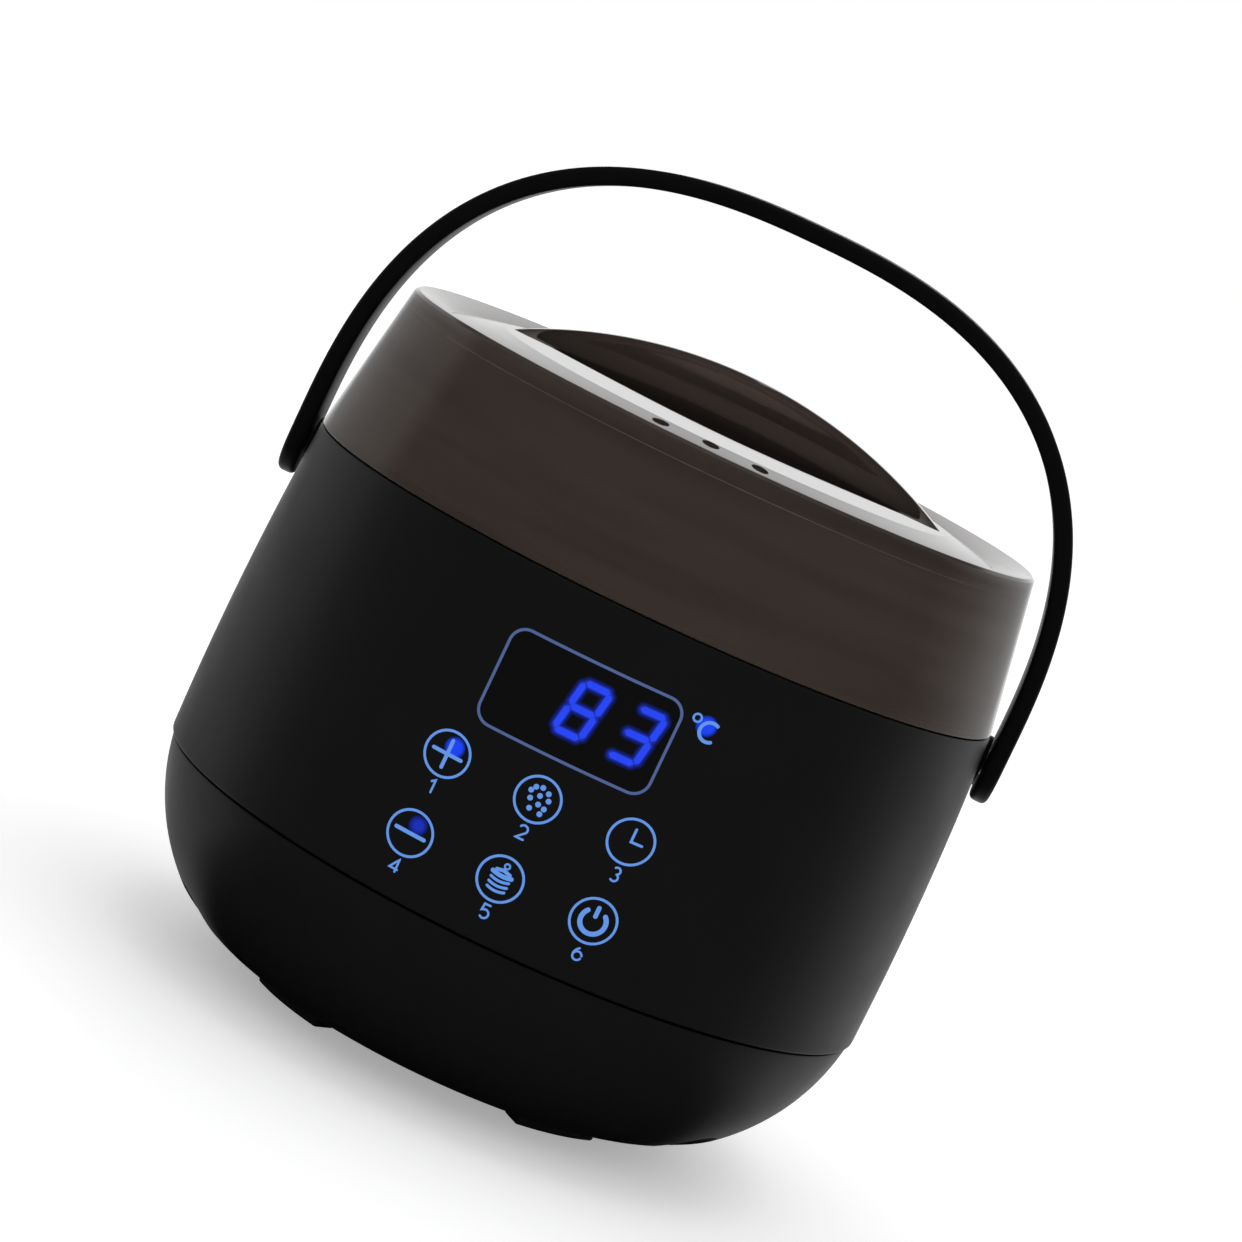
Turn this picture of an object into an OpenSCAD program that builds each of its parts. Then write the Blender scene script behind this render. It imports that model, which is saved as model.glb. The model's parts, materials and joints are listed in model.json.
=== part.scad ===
/* [Body] */
// Largest radius of the body
body_r = 85; // [80:0.5:95]
// Radius of the long bow that the side wall follows
side_bow_r = 740; // [500:10:1200]
// Height of the widest place above the seam
bow_rise = 19; // [10:1:30]
// Height of the body shell from the seam to the lid line
body_h = 77; // [74:1:84]
// Wall of the body and base shells
shell_wall = 2.6; // [2.2:0.1:3]
// Open line between the base shell and the body shell
seam_gap = 0.5; // [0.3:0.1:0.8]
// How far the base's top edge sits in from the body above it
base_step = 0.65; // [0.3:0.05:1.2]
// Depth of the spill deck below the body's top edge
deck_drop = 2.7; // [2.2:0.1:4]
// Width of the ledge inside the shell that carries the deck
ledge_w = 2.6; // [2:0.2:3.4]
// Thickness of the ledge
ledge_t = 2; // [1.6:0.2:2.6]
// Gap round the deck's edge
deck_gap = 0.2; // [0.1:0.1:0.3]
// Radius of the mouth that the heating cup hangs in
mouth_r = 55.4; // [54.4:0.2:57]
// Fine edge broken along the body's top and bottom rims
rim_bevel = 0.6; // [0.2:0.1:1]

/* [Base] */
// Height of the base shell from its flat bottom to the seam
base_h = 38; // [36:0.5:41]
// Radius of the arc that rounds the base's side
base_side_r = 49; // [46:1:56]
// Radius of the arc that turns the side into the flat bottom
base_turn_r = 32; // [28:1:36]
// Slope at which the side arc gives way to the turning arc
base_turn_deg = 46; // [42:1:50]
// Height of the locating lip above the seam
lip_h = 3; // [2:0.5:4]
// Thickness of the locating lip
lip_t = 1.6; // [1.2:0.1:2]
// Radius of the ball that hollows a fingertip recess
scoop_r = 11; // [10:0.2:12]
// Depth of the fingertip recess at its middle
scoop_depth = 3.8; // [3:0.1:4.4]
// Place of the recess on the turning arc, as a slope
scoop_deg = 55; // [52:0.5:58]
// How far each recess is turned from the side toward the front, in degrees
scoop_turn = 24; // [18:0.5:28]

/* [Feet] */
// Height that the feet lift the base's bottom
foot_proud = 3; // [2:0.2:5]
// Depth of the seat that each foot is glued in
foot_seat = 1.2; // [0.8:0.1:1.6]
// Inner radius of the foot pads
foot_r_in = 41; // [39:0.5:43]
// Outer radius of the foot pads
foot_r_out = 48; // [46:0.5:50]
// Angle that one foot pad spans
foot_sweep = 29; // [20:1:36]

/* [Bail] */
// Depth of the pivots below the body's top edge
pivot_drop = 6.3; // [6:0.1:7]
// Gap between the body's side and the bail's leg at the pivot
bail_gap = 0.9; // [0.8:0.1:1.4]
// Thickness of the bail's strap
bail_t = 4.2; // [3.8:0.1:5]
// Width of the bail's strap
bail_w = 17.6; // [16:0.2:20]
// Straight part of each leg above the pivot
bail_leg = 6.3; // [4:0.1:9]
// Height of the arch above the straight legs
bail_rise = 86.2; // [85:0.2:95]
// Fullness of the arch's shoulders, 2 being a plain ellipse
bail_full = 2.52; // [2.4:0.02:2.8]

/* [Pivots] */
// Radius of the shoulder that the bail turns on
shoulder_r = 3; // [2.5:0.1:3.4]
// Radius of the screw's flat head
pivot_head_r = 4.5; // [4.2:0.1:5]
// Thickness of the screw's flat head
pivot_head_t = 1.8; // [1.4:0.1:2]
// Radius of the screw's thread
pivot_thread_r = 2; // [1.6:0.1:2.2]
// Length of the screw's thread
pivot_thread_len = 9; // [7:0.5:10]
// Radius of the spacer disc between bail and body
spacer_r = 6; // [5.4:0.1:6.6]
// Depth of the pocket that the spacer disc sits in
spacer_sink = 1.2; // [0.8:0.1:1.4]
// Radius of the brass insert in the wall's boss
insert_r = 2.9; // [2.7:0.1:3.1]
// Length of the brass insert
insert_len = 6; // [5:0.5:6.5]

/* [Lid] */
// Height of the lid from its lower edge to its rim
lid_h = 36; // [34:0.5:40]
// Radius of the rim at the lid's top
lid_rim_r = 76.3; // [75:0.1:77]
// Wall of the lid
lid_wall = 2.2; // [1.8:0.1:2.6]
// Gap between the lid's edge and the body's edge
lid_gap = 0.3; // [0.2:0.05:0.5]
// Bevel along the lid's rim
lid_bevel = 0.8; // [0.4:0.1:1.2]
// Radius of the groove round the lid's top
groove_r = 67; // [65:0.2:69]
// Depth of the groove below the rim
groove_depth = 2.4; // [1.6:0.1:3]
// Radius at which the lid's crown stops rising
crown_r = 54.5; // [54:0.5:57]
// Height of the crown above the rim
crown_rise = 0.2; // [0:0.1:0.6]
// Height of the locating skirt inside the lid's lower edge
skirt_h = 2.2; // [1.5:0.1:2.4]
// Thickness of the locating skirt
skirt_t = 1.8; // [1.4:0.1:2.2]
// Gap between the locating skirt and the body's wall
skirt_gap = 0.4; // [0.3:0.1:0.6]
// Radius of one vent hole
vent_r = 2; // [1.6:0.05:2.2]
// Distance between vent holes
vent_pitch = 11.6; // [9:0.2:13]
// Distance of the vent holes from the lid's axis
vent_ring_r = 56.5; // [56:0.1:58]
// How many vent holes there are
vents = 3; // [1:1:3]

/* [Lid grip] */
// Half the length of the grip
grip_half = 53; // [50:0.5:54]
// Height of the grip's arch above the rim
grip_rise = 13.25; // [11:0.25:15]
// Thickness of the grip
grip_t = 8; // [7:0.2:10]
// Bevel along the grip's top edges
grip_bevel = 2; // [1:0.1:2.4]
// Half the width of the finger hollow at its middle
hollow_half_w = 22; // [19:0.5:24]
// Depth of the finger hollow below the crown
hollow_depth = 14; // [11:0.5:15]

/* [Pot] */
// Outer radius of the pot's wall
pot_r = 50; // [47:0.5:50.5]
// Wall of the pot
pot_wall = 1.3; // [1:0.1:1.8]
// Floor of the pot
pot_floor = 1.6; // [1.2:0.1:2.4]
// Bevel round the pot's foot
pot_bevel = 3; // [2:0.5:4]
// Height of the pot
pot_h = 70; // [66:1:72]
// How far the pot's rim stands out from its wall
pot_rim_w = 5; // [3.5:0.5:5.5]
// Thickness of the pot's rolled rim
pot_rim_t = 2.8; // [2.4:0.1:3.4]
// Height of the pot's rim above the body's top edge
pot_rim_above = 10; // [8:0.5:11]
// Gap under the pot where it stands in the heating cup
pot_seat_gap = 0.3; // [0.2:0.05:0.4]
// Gap between the pot and the heating cup's wall
pot_side_gap = 0.6; // [0.4:0.1:1]

/* [Heater] */
// Wall of the heating cup
cup_wall = 2; // [1.6:0.1:2.4]
// Floor of the heating cup
cup_floor = 2.2; // [1.8:0.1:3]
// Radius of the cup's flange on the deck
flange_r = 66; // [65:0.5:68]
// Thickness of the cup's flange
flange_t = 1.2; // [1:0.1:1.5]
// Thickness of the band heater
band_t = 1.4; // [1:0.1:1.8]
// Height of the band heater
band_h = 34; // [24:1:40]
// Height of the band heater's lower edge above the cup's floor
band_lift = 5; // [2:0.5:8]
// Gap at which heater parts lie on each other
heater_gap = 0.2; // [0.1:0.05:0.3]
// Radius of the floor heater plate
plate_r = 43; // [40:0.5:46]
// Thickness of the floor heater plate
plate_t = 4; // [3:0.2:5]
// Thickness of the insulation sleeve
sleeve_t = 2.2; // [1.6:0.1:2.3]
// Height of the insulation sleeve
sleeve_h = 48; // [42:1:50]
// Radius of the heat shield's plate
shield_r = 57; // [54:0.5:58]
// Thickness of the heat shield
shield_t = 0.8; // [0.6:0.1:1.2]
// Height of the heat shield's underside above the seam
shield_rise = 2.2; // [2:0.2:3.4]
// Radius of the temperature sensor
sensor_r = 2.5; // [2:0.1:3]
// Height of the temperature sensor
sensor_h = 4.5; // [3.5:0.1:5]
// Distance of the sensor in front of the pot's axis
sensor_reach = 14; // [10:1:20]
// Width of the sensor's clip
clip_w = 6; // [5:0.5:8]
// Length of the clip's foot under the heater plate
clip_foot = 8; // [6:0.5:9]
// Thickness of the sensor's clip
clip_t = 0.6; // [0.4:0.1:0.8]
// Distance of the thermal fuse behind the pot's axis
fuse_reach = 24; // [20:1:30]
// Radius of the thermal fuse
fuse_r = 2; // [1.6:0.1:2.2]
// Length of the thermal fuse
fuse_len = 11; // [9:0.5:14]
// Radius of the cup screws' shanks
cup_screw_r = 1.5; // [1.2:0.1:1.8]
// Radius of the ring that the cup screws stand on
cup_screw_ring_r = 61.5; // [60.5:0.5:62.5]

/* [Case screws] */
// Radius of the ring that the case screws stand on
case_ring_r = 61.5; // [61:0.5:63]
// Radius of the pillars and posts that the case screws join
pillar_r = 3.8; // [3.4:0.1:4]
// Radius of a case screw's shank
case_screw_r = 1.5; // [1.2:0.1:1.7]
// Radius of a case screw's head
case_head_r = 2.8; // [2.4:0.1:3]
// Height of a case screw's head
case_head_h = 2; // [1.6:0.1:2.4]
// Length of a case screw's shank
case_screw_len = 34; // [28:1:44]
// Length of a case screw's thread that bites in the pillar
case_bite = 10; // [7:0.5:14]
// Gap round a case screw's head in its well
well_gap = 0.4; // [0.2:0.1:0.6]

/* [Control board] */
// Width of the control board
ctrl_w = 78; // [74:1:84]
// Height of the control board
ctrl_h = 58; // [56:1:60]
// Height of the control board's lower edge above the seam
ctrl_lift = 6.5; // [6:0.5:8]
// Gap between the control board's front corners and the shell's wall
ctrl_wall_gap = 4.4; // [3.6:0.1:5.4]
// Thickness of both boards
board_t = 1.6; // [1.2:0.1:2]
// Distance of a board's screws from its edges
board_inset = 4.5; // [4:0.5:6]
// Radius of the board screws' shanks
board_screw_r = 1; // [0.8:0.1:1.2]
// Radius of the board screws' heads
board_head_r = 2; // [1.8:0.1:2.4]
// Height of the board screws' heads
board_head_h = 1.4; // [1:0.1:1.8]
// Length of the board screws' shanks
board_screw_len = 4.5; // [3.5:0.5:5]
// Radius of the posts under the boards
board_post_r = 3; // [2.6:0.1:3.4]
// Width of the display window
window_w = 38.9; // [34:0.1:42]
// Height of the display window
window_h = 22.1; // [19:0.1:23]
// Corner radius of the display window
window_corner_r = 3.3; // [2:0.1:5]
// Height of the display window's middle above the seam
window_rise = 53.2; // [52:0.2:54]
// Clearance round the display window
window_gap = 0.12; // [0.08:0.02:0.2]
// Distance between the touch keys
key_pitch_x = 21.1; // [19:0.1:22]
// Height of the upper row of touch keys above the seam
key_row_high = 33.2; // [32:0.2:34]
// Height of the lower row of touch keys above the seam
key_row_low = 14.8; // [14:0.2:16]
// Radius of a touch key's contact spring
key_spring_r = 4; // [3.4:0.1:4.4]
// Wire thickness of a contact spring
key_spring_t = 0.8; // [0.6:0.1:1]

/* [Power board] */
// Width of the power board
power_w = 70; // [66:1:72]
// Depth of the power board
power_d = 66; // [62:1:68]
// Height of the power board's underside above the base's bottom
power_lift = 11; // [10:0.5:13]
// How far the power board's middle lies in front of the axis
power_shift = 0; // [-2:0.5:2]
// Height of the transformer
transformer_h = 17; // [14:0.5:19]
// Height of the relay
relay_h = 15; // [12:0.5:18]
// Radius of the capacitor
capacitor_r = 5; // [4:0.5:6.5]
// Height of the capacitor
capacitor_h = 18; // [14:0.5:20]
// Height of the terminal block
terminal_h = 10; // [8:0.5:12]
// Radius of the insulated leads
lead_r = 1.2; // [0.9:0.1:1.5]
// Distance of each heater lead from the middle
heater_lead_x = 14; // [11:0.5:15]
// Width of the ribbon between the boards
ribbon_w = 12; // [9:0.5:14]
// Thickness of the ribbon between the boards
ribbon_t = 1; // [0.8:0.1:1.2]

/* [Power inlet] */
// Width of the inlet's flange
inlet_w = 28; // [26:0.5:30]
// Height of the inlet's flange
inlet_h = 17; // [16:0.5:18]
// Distance of the inlet's face inside the body's widest line
inlet_sink = 13.5; // [13:0.5:15]
// Height of the inlet's middle below the seam
inlet_drop = 16; // [15:0.5:17]
// Thickness of the inlet's flange
inlet_flange_t = 1.5; // [1.2:0.1:2]
// Length of the inlet's body behind its flange
inlet_len = 17; // [15:0.5:18]
// Margin of the flange round the inlet's body
inlet_margin = 3; // [2.4:0.1:3.4]
// Distance between the two contact pins
pin_pitch = 8.6; // [8:0.1:9]
// Radius of a contact pin
inlet_pin_r = 1.15; // [1:0.05:1.3]
// Depth of the socket
socket_depth = 9; // [8:0.5:10]
// Radius of the socket's round ends
socket_r = 3.9; // [3.6:0.1:4.2]

/* [Hidden] */
$fn = 96;

// Small play values
fit_gap = 0.05;      // a shaft in its hole
slip_gap = 0.1;      // pieces that slip over or into each other
seat_gap = 0.3;      // between pieces that lie on each other but move apart
through = 1;         // how far a cutter runs past the face it opens

// Heights
base_z = foot_proud;
seam_z = base_z + base_h;
bow_z = seam_z + bow_rise;
top_z = seam_z + body_h;
deck_z = top_z - lid_gap - deck_drop;
deck_under_z = deck_z - shell_wall;
pivot_z = top_z - pivot_drop;
rim_z = top_z + lid_h;
pot_rim_z = top_z + pot_rim_above;
pot_z = pot_rim_z - pot_h;
pot_rim_r = pot_r + pot_rim_w;
cup_seat_z = pot_rim_z - pot_rim_t - pot_seat_gap;
cup_top_z = pot_z - pot_seat_gap;
cup_z = cup_top_z - cup_floor;
plate_z = cup_z - heater_gap - plate_t;
shield_z = seam_z + shield_rise;
power_z = base_z + power_lift;
power_top_z = power_z + board_t;
ctrl_z = seam_z + ctrl_lift;
ctrl_top_z = ctrl_z + ctrl_h;
window_z = seam_z + window_rise;
inlet_z = seam_z - inlet_drop;
inlet_reach = body_r - inlet_sink;

// Radii that follow the side wall
arc_steps = 16;
function side_r(z) = body_r - side_bow_r + sqrt(pow(side_bow_r, 2) - pow(z - bow_z, 2));
function side_in_r(z) = side_r(z) - shell_wall;
function side_in_min(z, half_h) = min(side_in_r(z - half_h), side_in_r(z + half_h));
body_top_r = side_r(top_z);
base_top_r = side_r(seam_z) - base_step;

// Base outline: a side arc and a tighter turning arc, both tangent where they meet
base_top_deg = asin(sin(base_turn_deg)
                    - (base_h - base_turn_r * (1 - sin(base_turn_deg))) / base_side_r);
side_cx = base_top_r - base_side_r * cos(base_top_deg);
side_cz = seam_z + base_side_r * sin(base_top_deg);
turn_cx = side_cx + (base_side_r - base_turn_r) * cos(base_turn_deg);
turn_cz = side_cz - (base_side_r - base_turn_r) * sin(base_turn_deg);

// Bail
bail_in_x = side_r(pivot_z) + bail_gap;
bail_out_x = bail_in_x + bail_t;
bail_arch_z = pivot_z + bail_leg;
bail_steps = 40;
spacer_back_x = side_r(pivot_z) - spacer_sink;
spacer_front_x = bail_in_x - seat_gap;
head_back_x = bail_out_x - slip_gap - pivot_head_t;
boss_wall = 2.1;
boss_r = insert_r + boss_wall;
boss_len = pivot_thread_len + 1;

// Grip hollow: a spindle that lies along X, with its axis above the crown
crown_z = rim_z + crown_rise;
spindle_r = (pow(hollow_half_w, 2) + pow(hollow_depth, 2)) / (2 * hollow_depth);
spindle_z = crown_z + spindle_r - hollow_depth;
spindle_end_r = spindle_r - hollow_depth - 0.6;
skirt_root_h = 1.2;
spindle_steps = 28;
grip_arch_r = (pow(grip_half, 2) + pow(grip_rise, 2)) / (2 * grip_rise);
grip_top_z = rim_z + grip_rise;

// Heating cup
cup_in_r = pot_r + pot_side_gap;
cup_out_r = cup_in_r + cup_wall;
band_in_r = cup_out_r + heater_gap;
sleeve_in_r = band_in_r + band_t + heater_gap;
sleeve_z = deck_under_z - seat_gap - sleeve_h;
cup_head_r = 2.4;
cup_head_h = 1.6;
cup_screw_len = 8;
cup_boss_h = 9;
clip_over = 1;
band_slot_w = 5;

// Case screws
pillar_z = shield_z + shield_t;
post_top_z = shield_z;
well_r = case_head_r + well_gap;
well_wall = 1.2;
head_seat_z = pillar_z + case_bite - case_screw_len;

// Control board parts
keys_x = [-key_pitch_x, 0, key_pitch_x];
keys_z = [seam_z + key_row_high, seam_z + key_row_low];
led_w = 2;
led_h = 1.2;
led_below = 7;
ctrl_post_x = ctrl_w / 2 - board_inset;
ctrl_post_zs = [ctrl_z + board_inset, ctrl_top_z - board_inset];
ctrl_wall_r = side_in_min(ctrl_z + ctrl_h / 2, ctrl_h / 2);
ctrl_reach = sqrt(pow(ctrl_wall_r, 2) - pow(ctrl_w / 2, 2)) - ctrl_wall_gap;
ctrl_back = ctrl_reach - board_t;
socket_d = 6;
socket_h = 6;
socket_w = ribbon_w + 3;
socket_z = ctrl_z + 2;
ribbon_y = -(ctrl_back - slip_gap - socket_d / 2);

// Power board parts
power_post_x = power_w / 2 - board_inset;
power_y0 = -power_shift - power_d / 2;
power_y1 = power_y0 + power_d;
power_post_ys = [power_y0 + board_inset, power_y1 - board_inset];
part_gap = 3;
transformer_w = 18;
transformer_x = part_gap - power_w / 2 + 2 * board_inset;
relay_w = 16;
relay_d = 12;
relay_x = power_w / 2 - 2 * board_inset - part_gap - relay_w;
terminal_d = 10;
terminal_y = power_y1 - board_inset - board_head_r - terminal_d - 1;
terminal_w = 2 * heater_lead_x + 8;
header_d = 6;
header_h = 7;
header_y = power_y0 + 1;
lead_z = power_top_z + terminal_h / 2;
heater_lead_y = terminal_y + terminal_d / 2;
inlet_back_y = inlet_reach - inlet_flange_t - inlet_len;
flange_back_y = inlet_reach - inlet_flange_t;
pin_tail = 2.5;
socket_waist = socket_r - 0.8;

// Shared shapes

function arc(cx, cz, r, a0, a1) =
    [for (i = [0:arc_steps]) let (a = a0 + (a1 - a0) * i / arc_steps) [cx + r * cos(a), cz - r * sin(a)]];

module lathe(points) rotate_extrude() polygon(points);

// Solid of the base, taken in by a wall
module base_solid(inset) {
    turn = arc(turn_cx, turn_cz, base_turn_r - inset, 90, base_turn_deg);
    side = arc(side_cx, side_cz, base_side_r - inset, base_turn_deg, base_top_deg);
    rim_x = side_cx + (base_side_r - inset) * cos(base_top_deg);
    lathe(concat([[0, base_z + inset]], turn, [for (i = [1:arc_steps]) side[i]],
                 [[rim_x, seam_z + inset], [0, seam_z + inset]]));
}

// Solid of the body between two heights, taken in by a wall and with its two edges broken
module body_solid(inset, z0, z1, bevel = 0) {
    low = z0 + bevel;
    high = z1 - bevel;
    wall = [for (i = [0:arc_steps]) let (z = low + (high - low) * i / arc_steps) [side_r(z) - inset, z]];
    ends = bevel > 0 ? [[side_r(z1) - inset - bevel, z1]] : [];
    starts = bevel > 0 ? [[side_r(z0) - inset - bevel, z0]] : [];
    lathe(concat([[0, z0]], starts, wall, ends, [[0, z1]]));
}

module tube(r_in, r_out, z0, z1) {
    translate([0, 0, z0])
        difference() {
            cylinder(r = r_out, h = z1 - z0);
            translate([0, 0, -through]) cylinder(r = r_in, h = z1 - z0 + 2 * through);
        }
}

module rod(r, z0, z1) translate([0, 0, z0]) cylinder(r = r, h = z1 - z0);

// Round bar along Y, from one distance in front of the axis to another
module front_rod(r, x, z, reach0, reach1) {
    translate([x, -reach0, z]) rotate([90, 0, 0]) cylinder(r = r, h = reach1 - reach0);
}

// Round bar along X on one side
module side_rod(r, x0, x1, side) {
    translate([side * x0, 0, pivot_z]) rotate([0, side * 90, 0]) cylinder(r = r, h = x1 - x0);
}

module box(low, high) translate(low) cube(high - low);

module at_case_screws() {
    for (a = [45:90:315]) rotate([0, 0, a]) translate([case_ring_r, 0, 0]) children();
}

module at_cup_screws() {
    for (a = [90:120:330]) rotate([0, 0, a]) translate([cup_screw_ring_r, 0, 0]) children();
}

module rounded_window(grow, reach0, reach1) {
    w = window_w / 2 + grow;
    h = window_h / 2 + grow;
    c = window_corner_r + grow;
    translate([0, -reach0, window_z]) rotate([90, 0, 0])
        linear_extrude(reach1 - reach0)
            union() {
                square([2 * (w - c), 2 * h], center = true);
                square([2 * w, 2 * (h - c)], center = true);
                for (sx = [-1, 1], sz = [-1, 1]) translate([sx * (w - c), sz * (h - c)]) circle(r = c);
            }
}

// Base

module side_scoops(grow) {
    reach = base_turn_r + scoop_r - scoop_depth;
    for (side = [-1, 1])
        rotate([0, 0, -side * scoop_turn])
            translate([side * (turn_cx + reach * cos(scoop_deg)), 0, turn_cz - reach * sin(scoop_deg)])
                sphere(r = scoop_r + grow);
}

module inlet_pocket(grow) {
    w = inlet_w / 2 + slip_gap + grow;
    h = inlet_h / 2 + slip_gap + grow;
    box([-w, flange_back_y - grow, inlet_z - h], [w, body_r, inlet_z + h]);
}

module inlet_hole() {
    w = inlet_w / 2 - inlet_margin + slip_gap;
    h = inlet_h / 2 - inlet_margin + slip_gap;
    box([-w, inlet_back_y, inlet_z - h], [w, body_r, inlet_z + h]);
}

module foot_ring(grow, z0, z1) {
    rotate([0, 0, -foot_sweep / 2])
        rotate_extrude(angle = foot_sweep)
            polygon([[foot_r_in - grow, z0], [foot_r_out + grow, z0],
                     [foot_r_out + grow, z1], [foot_r_in - grow, z1]]);
}

module power_posts() {
    for (x = [-power_post_x, power_post_x], y = power_post_ys)
        translate([x, y, 0]) rod(board_post_r, base_z + shell_wall / 2, power_z);
}

module base_shell() {
    lip_out_r = side_in_r(seam_z + seam_gap) - slip_gap;
    color([0.06, 0.06, 0.06])
    difference() {
        union() {
            difference() {
                base_solid(0);
                difference() {
                    base_solid(shell_wall);
                    side_scoops(shell_wall);
                    inlet_pocket(shell_wall);
                    at_case_screws() rod(well_r + well_wall, base_z, seam_z + 2 * shell_wall);
                    power_posts();
                }
            }
            tube(lip_out_r - lip_t, lip_out_r, seam_z - lip_h, seam_z + lip_h);
            at_case_screws() rod(pillar_r, seam_z - lip_h, post_top_z);
        }
        translate([0, 0, seam_z]) difference() {
            rod(body_r, 0, shell_wall * 2);
            translate([0, 0, -through]) cylinder(r = lip_out_r, h = shell_wall * 3);
        }
        side_scoops(0);
        inlet_pocket(0);
        inlet_hole();
        for (a = [45:90:315]) rotate([0, 0, a]) foot_ring(slip_gap, base_z - through, base_z + foot_seat);
        at_case_screws() rod(well_r, base_z - through, head_seat_z);
        at_case_screws() rod(case_screw_r + slip_gap, base_z, post_top_z + through);
        for (x = [-power_post_x, power_post_x], y = power_post_ys)
            translate([x, y, 0]) rod(board_screw_r, power_z - board_screw_len, power_z + through);
    }
}

module foot(turn) {
    color([0.1, 0.1, 0.1]) rotate([0, 0, turn]) foot_ring(0, 0, base_z + foot_seat);
}
module foot_front_left() foot(225);
module foot_front_right() foot(315);
module foot_rear_left() foot(135);
module foot_rear_right() foot(45);

module case_screws() {
    color([0.55, 0.55, 0.58])
    at_case_screws() {
        rod(case_screw_r, head_seat_z, head_seat_z + case_screw_len);
        rod(case_head_r, head_seat_z - case_head_h, head_seat_z);
    }
}

// Body

module pivot_bosses() {
    for (side = [-1, 1])
        intersection() {
            side_rod(boss_r, side_r(pivot_z) - spacer_sink - boss_len, side_r(pivot_z) - through, side);
            body_solid(shell_wall / 2, seam_z, deck_z);
        }
}

module pivot_holes() {
    for (side = [-1, 1]) {
        side_rod(spacer_r + slip_gap, spacer_back_x, bail_out_x, side);
        side_rod(pivot_thread_r + slip_gap, spacer_back_x - boss_len - through, bail_out_x, side);
        side_rod(insert_r + fit_gap, spacer_back_x - boss_len - through,
                 spacer_back_x - boss_len + insert_len + slip_gap, side);
    }
}

module control_posts() {
    intersection() {
        for (x = [-ctrl_post_x, ctrl_post_x], z = ctrl_post_zs)
            front_rod(board_post_r, x, z, ctrl_reach, body_r);
        body_solid(shell_wall / 2, seam_z, top_z - lid_gap);
    }
}

module body_shell() {
    z0 = seam_z + seam_gap;
    z1 = top_z - lid_gap;
    color([0.07, 0.07, 0.07])
    difference() {
        union() {
            difference() {
                body_solid(0, z0, z1, rim_bevel);
                body_solid(shell_wall, z0 - through, z1 + through);
            }
            difference() {
                body_solid(shell_wall / 2, deck_under_z - ledge_t, deck_under_z);
                rod(side_in_r(deck_under_z) - ledge_w, seam_z, top_z);
            }
            pivot_bosses();
            control_posts();
        }
        for (x = [-ctrl_post_x, ctrl_post_x], z = ctrl_post_zs)
            front_rod(board_screw_r, x, z, ctrl_reach - through, ctrl_reach + board_screw_len);
        pivot_holes();
        rounded_window(window_gap, ctrl_reach, body_r + through);
    }
}

// The deck lies on the shell's ledge, and the case screws pull it down by its pillars
module top_deck() {
    color([0.08, 0.08, 0.08])
    difference() {
        union() {
            rod(side_in_r(deck_z) - deck_gap, deck_under_z, deck_z);
            at_case_screws() rod(pillar_r, pillar_z, deck_under_z + through);
            at_cup_screws() rod(pillar_r, deck_under_z - cup_boss_h, deck_under_z + through);
        }
        rod(mouth_r, deck_under_z - through, deck_z + through);
        at_case_screws() rod(case_screw_r, pillar_z - through, pillar_z + case_screw_len);
        at_cup_screws() rod(cup_screw_r, deck_z - cup_screw_len, deck_z + through);
        for (side = [-1, 1])
            side_rod(boss_r + deck_gap, side_r(pivot_z) - spacer_sink - boss_len - deck_gap, body_r, side);
    }
}

module display_window() {
    color([0.03, 0.03, 0.05, 0.8])
    intersection() {
        difference() {
            body_solid(0, seam_z + seam_gap, top_z - lid_gap);
            body_solid(shell_wall, seam_z, top_z);
        }
        rounded_window(0, ctrl_reach, body_r);
    }
}

// Bail

function bail_x(t) = bail_out_x * pow(abs(cos(t)), 2 / bail_full) * (cos(t) < 0 ? -1 : 1);
function bail_z(t) = bail_arch_z + bail_rise * pow(sin(t), 2 / bail_full);
function bail_edge(t) = [bail_x(t), bail_z(t)];
// Outward direction of the arch at a place on it
function arch_normal(x, z) =
    let (n = [pow(abs(x) / bail_out_x, bail_full - 1) / bail_out_x * (x < 0 ? -1 : 1),
              pow((z - bail_arch_z) / bail_rise, bail_full - 1) / bail_rise])
    n / norm(n);
bail_outer = [for (i = [1:bail_steps - 1]) bail_edge(180 * i / bail_steps)];
bail_inner = [for (p = bail_outer) p - bail_t * arch_normal(p[0], p[1])];

module bail() {
    color([0.05, 0.05, 0.05])
    difference() {
        union() {
            translate([0, bail_w / 2, 0]) rotate([90, 0, 0])
                linear_extrude(bail_w)
                    polygon(concat([[bail_out_x, pivot_z], [bail_out_x, bail_arch_z]], bail_outer,
                                   [[-bail_out_x, bail_arch_z], [-bail_out_x, pivot_z],
                                    [-bail_in_x, pivot_z], [-bail_in_x, bail_arch_z]],
                                   [for (i = [len(bail_inner) - 1:-1:0]) bail_inner[i]],
                                   [[bail_in_x, bail_arch_z], [bail_in_x, pivot_z]]));
            for (side = [-1, 1]) side_rod(bail_w / 2, bail_in_x, bail_out_x, side);
        }
        for (side = [-1, 1]) {
            side_rod(shoulder_r + fit_gap, bail_in_x - through, bail_out_x + through, side);
            side_rod(pivot_head_r + slip_gap, head_back_x - slip_gap, bail_out_x + through, side);
        }
    }
}

module pivot_screws() {
    color([0.5, 0.5, 0.52])
    for (side = [-1, 1]) {
        side_rod(pivot_head_r, head_back_x, head_back_x + pivot_head_t, side);
        side_rod(shoulder_r, spacer_back_x, head_back_x, side);
        side_rod(pivot_thread_r, spacer_back_x - pivot_thread_len, spacer_back_x, side);
    }
}

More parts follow.
